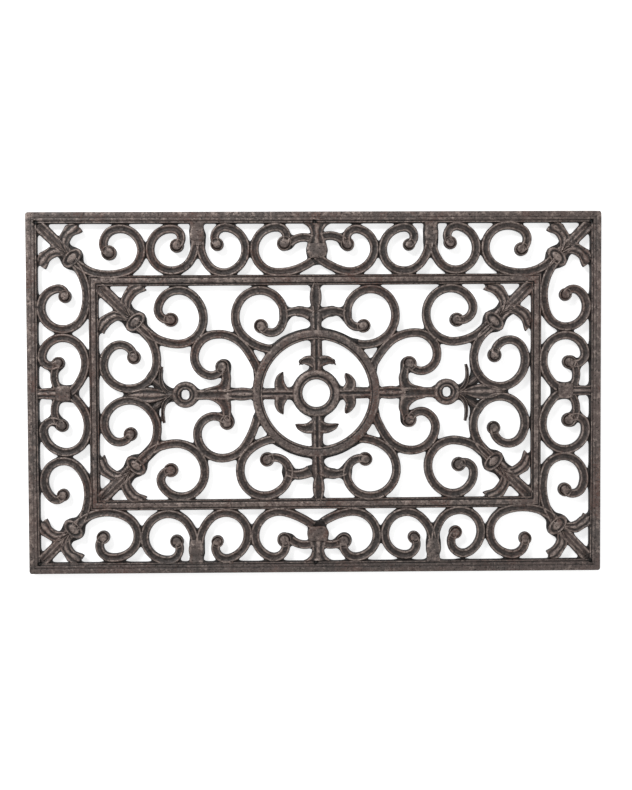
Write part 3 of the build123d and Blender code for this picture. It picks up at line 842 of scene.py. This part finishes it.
big_ring_profile = [(80.2, 0, 0), (80.4, 0.5, 0), (80.4, 5.8, 0.05), (80.0, 7.2, 0.3), (79.1, 8.3, 0.8),
                    (77.8, 8.9, 0.85), (76.0, 8.95, 0.55), (72.8, 8.9, 0.5), (71.6, 8.8, 0.6), (70.9, 8.1, 0.1),
                    (70.2, 7.9, 0.05), (69.5, 8.5, 0.6), (68.9, 8.6, 1.0), (68.2, 8.2, 0.7), (67.6, 7.0, 0.1),
                    (67.5, 0.5, 0), (67.7, 0, 0)]
small_ring_profile = [(29.7, 0, 0), (30.0, 0.5, 0), (30.0, 5.2, 0.05), (29.5, 6.9, 0.35), (28.4, 8.2, 0.85),
                      (26.9, 8.8, 0.9), (24.8, 8.9, 0.6), (23.2, 8.6, 0.6), (22.2, 7.7, 0.2), (21.4, 7.1, 0.0),
                      (20.6, 7.1, 0.05), (19.8, 7.6, 0.6), (19.0, 7.7, 0.95), (18.2, 7.1, 0.5), (17.5, 5.8, 0.05),
                      (17.2, 0.5, 0), (17.5, 0, 0)]
side_ring_profile = [(16.4, 0, 0), (16.7, 0.5, 0), (16.7, 4.8, 0.05), (16.3, 6.5, 0.35), (15.2, 8.0, 0.85),
                     (13.8, 8.7, 0.95), (12.2, 8.4, 0.6), (11.1, 7.5, 0.1), (10.2, 7.0, 0.0), (9.3, 7.4, 0.5),
                     (8.3, 7.7, 0.95), (7.4, 7.1, 0.4), (6.7, 5.8, 0.05), (6.4, 0.5, 0), (6.6, 0, 0)]
SIDE_RING = 164.0
ring_lump = Lump()
middle = settle(0, 0)
add_ring(ring_lump, middle, big_ring_profile, 160)
add_ring(ring_lump, middle, small_ring_profile, 96)
for side in (-1, 1):
    add_ring(ring_lump, settle(side * SIDE_RING, 0), side_ring_profile, 64)
    joins(([np.array(settle(side * SIDE_RING, 0)) + ahead(20 * index, 11.5) for index in range(19)], 4.6))
rings = ring_lump.piece("centre_rings", iron)
for radius, half in ((74.4, 5.2), (25.8, 4.9)):
    joins(([np.array(middle) + ahead(6 * index, radius) for index in range(61)], half))
for turn in (90, -90):
    joins(([np.array(middle) + ahead(turn - 36 + 6 * index, 76.4) for index in range(13)], 4.4))
print(rings.name, len(rings.data.vertices), "points round", middle)

# %% Petals round the small ring
# Each arm's pair as (along the arm, out from the arm): the edge away from the small ring, then the near one
ARM_PETALS = {
    90: [((47, 4), (31, 4)), ((47.6, 8), (33.6, 8)), ((46.8, 14), (35.6, 12.5)), ((43.9, 18.2), (36.8, 16)),
         ((39.9, 20.6), (36.4, 19)), ((35.4, 21.6), (35.0, 20.8))],
    180: [((52, 4), (32, 4)), ((52.6, 9), (35.4, 7)), ((52.4, 15), (38.6, 12)), ((49.9, 21.4), (40.4, 17)),
          ((46.6, 25), (40.6, 21)), ((42.0, 27.4), (41.0, 26.6))],
    0: [((49, 4), (31, 4)), ((50.2, 9), (33, 7)), ((49.4, 15.5), (36.6, 12.5)), ((46.2, 20.5), (36, 17.5)),
        ((42.4, 24), (35.4, 21)), ((38, 26), (35.8, 25))],
    -90: [((50.6, 4), (32, 4)), ((51, 8), (34, 7)), ((50.4, 14), (37.4, 12)), ((47.4, 20.5), (38.2, 18)),
          ((44.2, 24.2), (38, 22.4)), ((39.4, 26.4), (38.4, 25.6))],
}
# How far the tips of each pair stray outward
OUTWARD = {90: (0, 3.4), 180: (-1.0, 0.4), 0: (-0.6, 0.4), -90: (2.0, 0.4)}
arm_lump = Lump()
for turn, edges in ARM_PETALS.items():
    along, out = ahead(turn, 1), ahead(turn + 90, 1)
    for hand, more in zip((1, -1), OUTWARD[turn]):
        rows = [(along * far[0] + out * (far[1] + more * i / 5) * hand,
                 along * near[0] + out * (near[1] + more * i / 5) * hand, 8.0 - 0.16 * i)
                for i, (far, near) in enumerate(edges)]
        rows = settled(smoothed(rows))
        add_strip(arm_lump, rows, TWO_RIDGES, lift=0.15)
        joins((middle_line(rows)[:-5], 3.6))
print(2 * len(ARM_PETALS), "petals")


# %% The straight arms, as (place along the arm, half width, height)
def straight_rows(stations, axis, side=1):
    """Rows along Y, or along X on the side with this sign, from (place, half width, height)."""
    if axis == "x":
        return [((side * place, half), (side * place, -half), tall) for place, half, tall in stations]
    return [((-half, place), (half, place), tall) for place, half, tall in stations]


def moved_rows(rows, x, y=0.0):
    return [((left[0] + x, left[1] + y), (right[0] + x, right[1] + y), tall) for left, right, tall in rows]


for side in (-1, 1):
    lean = -0.3 if side > 0 else 2.5
    inner_arm = [(27, 6.4, 7.4), (31, 6.6, 7.6), (36, 7.2, 8.2), (46, 7.5, 8.4), (58, 7.2, 8.3), (70, 7.0, 8.2)]
    rows = moved_rows(straight_rows(inner_arm, "y"), middle[0] + (0.5 if side > 0 else 0.9))
    add_strip(arm_lump, smoothed(rows), CLOSE_RIDGES, (1, side), 0.1)
    add_strip(arm_lump, smoothed(settled(straight_rows(inner_arm, "x", side))), CLOSE_RIDGES, (1, 1), 0.1)
    joins(([(middle[0] + lean, side * 30), (middle[0] + lean, side * 136)], 5.6))
    joins(([settle(side * 30, 0), settle(side * 106, 0)], 5.8))
    joins(([settle(side * 104, 0), settle(side * 150, 0)], 5.2))
    joins(([settle(side * 178, 0), settle(side * 190, 0)], 4.4))
    long_arm = [(78, 7.8, 8.2), (84, 7.1, 8.0), (90, 7.8, 7.9), (97, 8.6, 7.7), (106, 7.2, 7.1), (118, 5.0, 6.3),
                (137, 6.0, 6.6)]
    rows = [((left[0] + middle[0] + lean * min(1, (left[1] - 60) / 40), left[1]),
             (right[0] + middle[0] + lean * min(1, (right[1] - 60) / 40), right[1]), tall)
            for left, right, tall in straight_rows(long_arm, "y")]
    add_strip(arm_lump, smoothed(rows), CLOSE_RIDGES, (1, side), 0.1)
    rows = lens_rows((middle[0] + lean, 100), (middle[0] + lean, 140), 7.7, 8.8, 0.6)
    add_strip(arm_lump, rows, TWO_RIDGES, (1, side), 0.2)
    spindle = [(78, 6.4, 8.2), (82, 7.0, 8.3), (88, 8.0, 8.4), (94, 8.4, 8.4), (100, 7.8, 8.4), (106, 6.6, 8.2),
               (112, 6.2, 8.0)]
    rows = settled(straight_rows(spindle, "x", side))
    add_strip(arm_lump, smoothed(rows), THREE_RIDGES, (1, 1), 0.1)
    neck = [(106, 6.8, 8.0), (116, 7.6, 7.9), (128, 7.2, 7.7), (138, 6.5, 7.6), (150, 6.8, 7.6)]
    rows = moved_rows(settled(straight_rows(neck, "x", side)), 0, -0.3)
    add_strip(arm_lump, smoothed(rows), TWO_RIDGES, (1, 1), 0.12)
    tail = [(178, 6.0, 7.6), (182, 5.4, 7.6), (188, 6.2, 8.0)]
    add_strip(arm_lump, settled(straight_rows(tail, "x", side)), ONE_RIDGE, (1, 1), 0.1)
print("the right arm's neck ends at", middle_line(rows)[-1].round(1))

# %% Bent stems beside the side rings, and the arches over the big ring
for sign, lean, foot in zip(QUARTERS.values(), (1.6, 4, -0.4, 4), (0, 0.4, 3, 3)):
    stem = [((106 + lean, 35), (115.5 + lean, 35), 7.6), ((106 + 0.7 * lean, 30), (116.2 + 0.6 * lean, 30), 7.7),
            ((105.7 + 0.3 * lean, 25), (117 + 0.3 * lean, 25), 7.8), ((105.3, 20), (117.6 + 0.3 * foot, 20), 7.9),
            ((105.4, 16), (118 + 0.9 * foot, 16), 7.9), ((105.8, 12), (119.8 + 1.6 * foot, 12.5), 8.0),
            ((105.8, 9), (123.5 + 2 * foot, 9.8), 8.0), ((105.6, 5), (132 + 2 * foot, 7.6), 8.0),
            ((107, 1), (143, 5), 7.8)]
    rows = smoothed(stem)
    add_strip(arm_lump, rows, TWO_RIDGES, sign, 0.18)
    joins((flip(middle_line(rows)[:17], sign), 5.0))
for sign, shift in zip(QUARTERS.values(), ((-1.4, -0.6), (3.4, -0.6), (-2.6, 0.4), (4.4, -0.2))):
    line = flip(trace(*ARCH_STEM)[0] + np.array((0, shift[1])), sign) + np.array((shift[0], 0))
    line = line[np.hypot(*(line - line[0]).T) > 4.2]  # the start lies inside the scroll's bar
    along = np.gradient(line, axis=0)
    across = np.column_stack((-along[:, 1], along[:, 0])) / np.hypot(*along.T)[:, None]
    half = 5.3 + 2.4 * np.linspace(0, 1, len(line)) ** 1.5
    rows = [(spot + side * wide, spot - side * wide, 7.8) for spot, side, wide in zip(line, across, half)]
    add_strip(arm_lump, rows, TWO_RIDGES, (1, 1), 0.16)
    joins((line, 5.2), (line[len(line) // 2:], 6.6))
arms = arm_lump.piece("arms_and_petals", iron)
print(arms.name, len(arms.data.vertices), "points")

# %% The palmettes
HORN = [((182.5, 6.3), (184, 1.5), 8.0), ((186, 9.5), (189.5, 5), 8.4), ((188.8, 15), (193.6, 12), 8.5),
        ((190.1, 21), (194.8, 19.5), 8.4), ((190.2, 27), (194.6, 26.5), 8.2), ((189.7, 32), (193.6, 32.4), 8.0),
        ((189.2, 35.4), (192.4, 36.2), 7.8)]
palm_lump = Lump()
for side in (-1, 1):
    rows = [((side * a[0], a[1]), (side * b[0], b[1]), tall)
            for a, b, tall in lens_rows((183, 0), (238, 0), 10.2, 8.7, 0.85, 24)]
    add_strip(palm_lump, settled(rows), THREE_RIDGES, (1, 1), 0.25)
    joins(([settle(side * 188, 0), settle(side * 232, 0)], 5.4))
for sign, shift, low in zip(QUARTERS.values(), (1.1, -0.9, -1.2, -1.9), (-2.4, -0.6, 1.6, 0.6)):
    rows = [((a[0] + shift, a[1] + low), (b[0] + shift, b[1] + low), tall) for a, b, tall in smoothed(HORN)]
    add_strip(palm_lump, rows, TWO_RIDGES, sign, 0.2)
    joins((flip(middle_line(rows)[:-4], sign), 1.6))
    rib = moved_rows(lens_rows((189, 7), (208, 22), 3.6, 7.8, 0.8), 0, low * 0.5)
    add_strip(palm_lump, rib, ONE_RIDGE, sign, 0.15)
    joins((flip([(190, 3), (198, 12), (203, 20)], sign), 4.4))
palmettes = palm_lump.piece("palmettes", iron)
print(palmettes.name, len(palmettes.data.vertices), "points")

# %% [markdown]
# ## Ties between the border scrolls
# Where two border scrolls meet on a centre line, a tie clasps them: a fluted post that flares into the rail, a
# plain collar, and the two bars leaving below it. Shorter posts with a flat band stand between the others.

# %% Posts and collars on the centre lines, as (place, half width, height)
tie_lump = Lump()
for side in (-1, 1):
    post = [(211.8, 18.4, 8.8), (211, 16, 8.7), (209.6, 13.6, 8.5), (206.5, 10.4, 8.3), (202, 8.4, 8.2),
            (198, 8.0, 8.1), (192, 10.4, 7.9), (188.4, 11.6, 7.3), (183, 12.4, 7.0)]
    add_strip(tie_lump, smoothed(moved_rows(straight_rows(post, "y"), TIE_SHIFT)), THREE_RIDGES, (1, side), 0.1)
    collar = [(187.2, 11.6, 6.8), (186.8, 12.2, 8.5), (185, 12.4, 8.75), (180, 13.6, 8.75), (176, 13.6, 8.75),
              (172, 11.8, 8.6), (169.4, 9.4, 8.2), (168.6, 8.0, 7.0)]
    add_strip(tie_lump, smoothed(moved_rows(straight_rows(collar, "y"), TIE_SHIFT)), FLAT_TOP, (1, side), 0.15)
    joins(([(TIE_SHIFT, side * 172), (TIE_SHIFT, side * 215)], 6.4))
    joins(([(TIE_SHIFT - 6, side * 178), (TIE_SHIFT + 6, side * 178)], 6.6))
    low_y, wide = (0.2, 1.3) if side < 0 else (1.2, 0.4)  # the left and right ties differ a little
    side_bar = [(347, 7.0, 8.4), (344, 6.0 + wide / 3, 8.2), (336, 6.0 + wide, 8.0), (322, 6.6 + wide, 8.0)]
    rows = moved_rows(straight_rows(side_bar, "x", side), 0, low_y)
    add_strip(tie_lump, smoothed(rows), THREE_RIDGES, (1, 1), 0.1)
    side_collar = [(325.4, 7.8, 7.0), (324.4, 9.0, 8.2), (321, 9.9, 8.6), (316, 10.4, 8.7), (311, 10.2, 8.6),
                   (307.6, 9.2, 8.2), (306.4, 7.6, 7.0)]
    rows = moved_rows(straight_rows(side_collar, "x", side), 0, low_y)
    add_strip(tie_lump, smoothed(rows), FLAT_TOP, (1, 1), 0.15)
    rib = [(314.4, 3.0, 8.3), (313.4, 7.4, 8.7), (312.0, 7.8, 8.7), (311.0, 3.0, 8.3)]
    rows = moved_rows(straight_rows(rib, "x", side), 0, low_y)
    add_strip(tie_lump, smoothed(rows), ONE_RIDGE, (1, 1), 0.16)
    joins(([(side * 308, low_y), (side * 350, low_y)], 5.2))
    joins(([(side * 311, low_y), (side * 320, low_y)], 8.2))
print("two long ties at x =", TIE_SHIFT, "and two side ties")

# %% Posts with a flat band
for sign, (x, girth_here) in zip(QUARTERS.values(), POSTS):
    band_post = [(213, 9.6, 8.6), (210.4, 9.2, 8.2), (207, 8.7, 7.8), (204.4, 8.6, 7.8), (202.6, 9.2, 8.5),
                 (199, 9.8, 8.7), (195, 9.6, 8.7), (191.6, 8.8, 8.5), (190, 8.2, 7.8), (187.4, 7.8, 7.6),
                 (185, 6.4, 7.2)]
    rows = smoothed(moved_rows(straight_rows([(a, b * girth_here, c) for a, b, c in band_post], "y"), x))
    add_strip(tie_lump, rows, FLAT_TOP, sign, 0.12)
    joins((flip([(x, 191), (x, 215)], sign), 6.4))
ties = tie_lump.piece("border_ties", iron)
print(ties.name, len(ties.data.vertices), "points")

# %% [markdown]
# ## Cast webs
# Iron doesn't like sharp inside corners, so wherever two members meet, the mould leaves a web between them. No one
# draws those: they follow from what meets. So they are worked out here. A grid holds the distance to every member,
# joined by a smooth minimum, which fills each narrow wedge. The line where that distance is zero is traced and
# becomes a flat filled curve with a soft edge, a little lower than the bars.

# %% The distance to every member, on a grid
GRID = 0.8
BLEND = 9.0
FAR = 40.0  # the distance before any member is joined
grid_x = np.linspace(-half_length, half_length, round(2 * half_length / GRID) + 1)
grid_y = np.linspace(-half_width, half_width, round(2 * half_width / GRID) + 1)
field = np.full((len(grid_y), len(grid_x)), FAR)


def smooth_minimum(a, b, blend):
    overlap = np.clip(blend - np.abs(a - b), 0, None) / blend
    return np.minimum(a, b) - overlap * overlap * blend / 4


def distance_to_line(line, x, y):
    best = np.hypot(x - line[0][0], y - line[0][1])
    for start, end in zip(line[:-1], line[1:]):
        run = end - start
        share = np.clip(((x - start[0]) * run[0] + (y - start[1]) * run[1]) / max(run @ run, 1e-9), 0, 1)
        best = np.minimum(best, np.hypot(x - start[0] - share * run[0], y - start[1] - share * run[1]))
    return best


def spread(parts):
    """Joins one member to the field. Its own parts meet sharply, and it blends with the other members."""
    everything = np.concatenate([line for line, half in parts])
    reach = max(half for line, half in parts) + BLEND + 2
    i0, i1 = np.searchsorted(grid_y, (everything[:, 1].min() - reach, everything[:, 1].max() + reach))
    j0, j1 = np.searchsorted(grid_x, (everything[:, 0].min() - reach, everything[:, 0].max() + reach))
    x, y = grid_x[None, j0:j1], grid_y[i0:i1, None]
    near = np.min([distance_to_line(line, x, y) - half for line, half in parts], axis=0)
    field[i0:i1, j0:j1] = smooth_minimum(field[i0:i1, j0:j1], near, BLEND)


for parts in members:
    spread([(line if len(line) < 8 else np.concatenate((line[::2], line[-1:])), half) for line, half in parts])
print("solid share of the mat:", round(float((field < 0).mean()), 3))

# %% [markdown]
# The webs leave room for the six small holes and stay inside the outer edge. Their outline comes from marching
# squares: wherever a grid square has corners on both sides of the level, a short piece of the line crosses it, and
# the pieces are linked into loops.

# %% Trace the loops
def contour(values, level):
    """Closed loops where the grid crosses a level, by marching squares."""
    solid = values < level
    mixed = ((solid[:-1, :-1] != solid[1:, :-1]) | (solid[:-1, :-1] != solid[:-1, 1:])
             | (solid[:-1, :-1] != solid[1:, 1:]))
    links, spots = {}, {}
    for i, j in zip(*(found.tolist() for found in np.nonzero(mixed))):
        corners = [(i, j), (i, j + 1), (i + 1, j + 1), (i + 1, j)]
        leaving, entering = [], []
        for a, b in zip(corners, corners[1:] + corners[:1]):
            if solid[a] != solid[b]:
                key = (min(a, b), max(a, b))
                (i0, j0), (i1, j1) = key
                share = (level - values[i0, j0]) / (values[i1, j1] - values[i0, j0])
                spots[key] = (grid_x[j0] + (grid_x[j1] - grid_x[j0]) * share,
                              grid_y[i0] + (grid_y[i1] - grid_y[i0]) * share)
                (leaving if solid[a] else entering).append(key)
        links.update(zip(leaving, entering))
    found = []
    while links:
        start, now = links.popitem()
        loop = [start]
        while now in links:
            loop.append(now)
            now = links.pop(now)
        found.append(np.array([spots[key] for key in loop]))
    return found


def area_of(loop):
    x, y = loop[:, 0], loop[:, 1]
    return abs(float(np.sum(x * np.roll(y, -1) - y * np.roll(x, -1)))) / 2


HOLE_SPOTS = [(347.6, 214.1), (0.0, 214.1), (-347.6, 214.1), (-347.6, -214.1), (0.0, -214.1), (347.6, -214.1)]
HOLE_ROOM = 2.9
RIM_ROOM = 0.8
WEB_LEVEL = 0.3
WEB_EDGE = 1.0
SMALLEST_LOOP = 24  # square millimetres
for spot in HOLE_SPOTS:
    field = np.maximum(field, HOLE_ROOM - np.hypot(grid_x[None, :] - spot[0], grid_y[:, None] - spot[1]))
beyond = np.maximum(np.abs(grid_x)[None, :] - half_length, np.abs(grid_y)[:, None] - half_width)
field = np.maximum(field, beyond + RIM_ROOM)
loops = [loop for loop in contour(field, WEB_LEVEL - WEB_EDGE) if area_of(loop) > SMALLEST_LOOP]
print(len(loops), "loops")

# %% Fill them as one flat curve with a soft edge
WEB_TOP = 4.8
web_curve = bpy.data.curves.new("cast_webs", "CURVE")
web_curve.dimensions = "2D"
web_curve.fill_mode = "BOTH"
web_curve.extrude = (WEB_TOP / 2 - WEB_EDGE) * MM
web_curve.bevel_depth = WEB_EDGE * MM
web_curve.bevel_resolution = 0
total_points = 0
for loop in loops:
    smooth = (np.roll(loop, 1, 0) + 2 * loop + np.roll(loop, -1, 0)) / 4
    kept = smooth[::2]
    spline = web_curve.splines.new("POLY")
    spline.points.add(len(kept) - 1)
    spline.points.foreach_set("co", np.column_stack((kept * MM, np.zeros(len(kept)), np.ones(len(kept)))).ravel())
    spline.use_cyclic_u = True
    total_points += len(kept)
web_holder = bpy.data.objects.new("cast_webs_curve", web_curve)
bpy.context.scene.collection.objects.link(web_holder)
bpy.context.view_layer.update()
web_mesh = bpy.data.meshes.new_from_object(web_holder.evaluated_get(bpy.context.evaluated_depsgraph_get()))
web_mesh.transform(Matrix.Translation((0, 0, (underside + 0.05 + WEB_TOP / 2) * MM)))
bpy.data.objects.remove(web_holder)
work = bmesh.new()
work.from_mesh(web_mesh)
bmesh.ops.remove_doubles(work, verts=work.verts, dist=1e-6)
work.to_mesh(web_mesh)
work.free()
# The webs carry no crest attribute, so the iron reads 0 there and darkens them fully as dirt and painted shade.
webs = dress(web_mesh, "cast_webs", iron, 50)
print("webs from", total_points, "points")

# %% [markdown]
# ## The six small holes
# Each rubber foot is pushed into a small hole through the rail. Drilling them is one Boolean cut: six rods make
# one cutter, and the rail is cut by it. The webs need no cut, because their field already leaves the six spots
# open, and the leaves and posts end just short of them.

# %% Drill the holes
def turned_rows(x, y, profile, sides):
    """Rings round a point, one for each (radius, height)."""
    return [[(x + radius * cos(2 * pi * k / sides), y + radius * sin(2 * pi * k / sides), height, 0)
             for k in range(sides)] for radius, height in profile]


HOLE_RADIUS = 2.3
rods = Lump()
for x, y in HOLE_SPOTS:
    # The rods carry a crest of 0, so the walls that they cut are darkened like the hollows, as dirt and painted
    # shade.
    rods.add_rows(turned_rows(x, y, [(HOLE_RADIUS, -5), (HOLE_RADIUS, 30)], 28), closed=False)
cutter = rods.piece("hole_rods", iron)


def drilled(piece):
    """The same piece after the cut."""
    cut = piece.modifiers.new("holes", "BOOLEAN")
    cut.operation = "DIFFERENCE"
    cut.solver = "EXACT"
    cut.object = cutter
    bpy.context.view_layer.update()
    mesh = bpy.data.meshes.new_from_object(piece.evaluated_get(bpy.context.evaluated_depsgraph_get()))
    name = piece.name
    bpy.data.objects.remove(piece)
    return dress(mesh, name, iron, 45)


outer_rail_piece = drilled(outer_rail_piece)
bpy.data.objects.remove(cutter)
print(outer_rail_piece.name, "with", len(HOLE_SPOTS), "holes has", len(outer_rail_piece.data.vertices), "points")

# %% [markdown]
# ## Rubber feet
# Each foot is a small moulded knob: a round pad with soft edges and a barbed stem that is pushed up into its hole.
# It is a turned shape again, so its profile goes round the hole's centre. The material is a matt black rubber with
# a fine mould grain and a little dust.

# %% Matt rubber
rubber = bpy.data.materials.new("matt rubber")
rubber.use_nodes = True
tree = rubber.node_tree
principled = tree.nodes["Principled BSDF"]
rubber_skin = add_node(tree, "ShaderNodeGroup", {"node_tree": skin}, Grain_size=1500.0, Depth=0.25)
dust = ramp(tree, place_noise(tree, 300.0, 4.0, 0.6), 0.45, 0.7)
dusty = mix_colours(tree, math_of(tree, "MULTIPLY", dust, 0.4), (0.012, 0.012, 0.012, 1), (0.05, 0.046, 0.042, 1))
tree.links.new(dusty, principled.inputs["Base Color"])
tree.links.new(math_of(tree, "ADD", 0.6, math_of(tree, "MULTIPLY", dust, 0.2)), principled.inputs["Roughness"])
tree.links.new(rubber_skin.outputs["Normal"], principled.inputs["Normal"])
print(rubber.name, "has", len(tree.nodes), "nodes")

# %% Six turned feet, as (radius, height)
FOOT_PROFILE = [(5.0, 0.0), (5.6, 0.15), (5.9, 0.6), (6.0, 1.2), (5.9, 3.4), (5.6, 4.3), (5.0, 4.8), (2.6, 4.95),
                (2.05, 5.3), (2.05, 6.6), (2.2, 6.9), (2.05, 8.2), (2.05, 10.4), (1.7, 11.0), (0.02, 11.1)]
feet = {}
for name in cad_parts:
    if not name.startswith("foot"):
        continue
    foot_low, foot_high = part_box(name)
    place = (foot_low + foot_high) / 2 / MM
    foot_lump = Lump()
    foot_lump.add_rows(turned_rows(place.x, place.y, FOOT_PROFILE, 48), closed=False)
    feet[name] = foot_lump.piece(name + "_rubber", rubber, 40)
print("feet:", *feet)

# %% [markdown]
# ## Tie the pieces to the CAD model
# The mat has no moving parts, so everything rides on the one body. Together the iron pieces stand for the casting,
# which is then hidden.

# %% Ride and replace
iron_pieces = [outer_rail_piece, inner_frame_piece, *scroll_pieces, *eye_pieces, bouquets, rings, arms, palmettes,
               ties, webs]
for piece in iron_pieces:
    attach(piece, "root")
    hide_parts("scroll_grille")
    reach = np.array([vertex.co for vertex in piece.data.vertices]) / MM
    print(piece.name, "from", reach.min(0).round(2), "to", reach.max(0).round(2), "mm")
for name, piece in feet.items():
    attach(piece, "root")
    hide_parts(name)
print(len(iron_pieces), "iron pieces and", len(feet), "feet ride on the root")

# %% [markdown]
# ## Floor, light and camera
# The photograph looks almost straight down on the mat against pure white. The camera's place comes from the mat's
# four corners in the picture. The floor is white to the camera and to reflections, and keeps a soft shadow. The
# light is broad and comes a little from the back left.

# %% Floor
bpy.ops.mesh.primitive_plane_add(size=6)
floor = bpy.context.object
floor.name = "floor"
white = bpy.data.materials.new("white floor")
white.use_nodes = True
tree = white.node_tree
tree.nodes.clear()
paths = tree.nodes.new("ShaderNodeLightPath")
seen = math_of(tree, "MAXIMUM", paths.outputs["Is Camera Ray"], paths.outputs["Is Glossy Ray"])
seen = math_of(tree, "MAXIMUM", seen, paths.outputs["Is Transmission Ray"])
diffuse = add_node(tree, "ShaderNodeBsdfDiffuse", Color=(0.78, 0.78, 0.78, 1))
glow = add_node(tree, "ShaderNodeEmission", Color=(1, 1, 1, 1), Strength=0.68)
both = add_node(tree, "ShaderNodeAddShader", _0=diffuse.outputs[0], _1=glow.outputs[0])
mixed = add_node(tree, "ShaderNodeMixShader", _0=seen, _1=diffuse.outputs[0], _2=both.outputs[0])
tree.links.new(mixed.outputs[0], tree.nodes.new("ShaderNodeOutputMaterial").inputs["Surface"])
floor.data.materials.append(white)
print("floor of", floor.dimensions.x, "m")

# %% World and lights
world = bpy.data.worlds.new("soft room")
bpy.context.scene.world = world
world.use_nodes = True
world.node_tree.nodes["Background"].inputs["Color"].default_value = (1, 1, 1, 1)
tree = world.node_tree
paths = tree.nodes.new("ShaderNodeLightPath")
seen = math_of(tree, "MAXIMUM", paths.outputs["Is Camera Ray"], paths.outputs["Is Transmission Ray"])
strength = add_node(tree, "ShaderNodeMapRange", _0=seen, _3=0.4, _4=1.0).outputs[0]
tree.links.new(strength, tree.nodes["Background"].inputs["Strength"])


def soft_light(name, place, size, power):
    """A round light that looks at the mat's middle."""
    lamp = bpy.data.lights.new(name, "AREA")
    lamp.shape = "DISK"
    lamp.size = size
    lamp.energy = power
    holder = bpy.data.objects.new(name, lamp)
    bpy.context.scene.collection.objects.link(holder)
    holder.location = place
    holder.rotation_euler = (-Vector(place)).to_track_quat("-Z", "Y").to_euler()
    print(name, power, "W")


soft_light("key_light", (-1.1, 1.3, 1.7), 0.8, 36)
soft_light("fill_light", (1.6, -0.8, 1.5), 1.4, 9)

# %% Camera
camera_data = bpy.data.cameras.new("camera")
camera_data.lens = 50.83
camera_data.sensor_width = 36
camera = bpy.data.objects.new("camera", camera_data)
camera.location = (-0.0202, 0.0417, 1.4121)
camera.rotation_euler = (radians(-1.822), radians(-0.879), radians(-0.25))
bpy.context.scene.collection.objects.link(camera)
bpy.context.scene.camera = camera
bpy.context.scene.view_settings.view_transform = "Standard"
print("camera at", [round(v, 3) for v in camera.location])
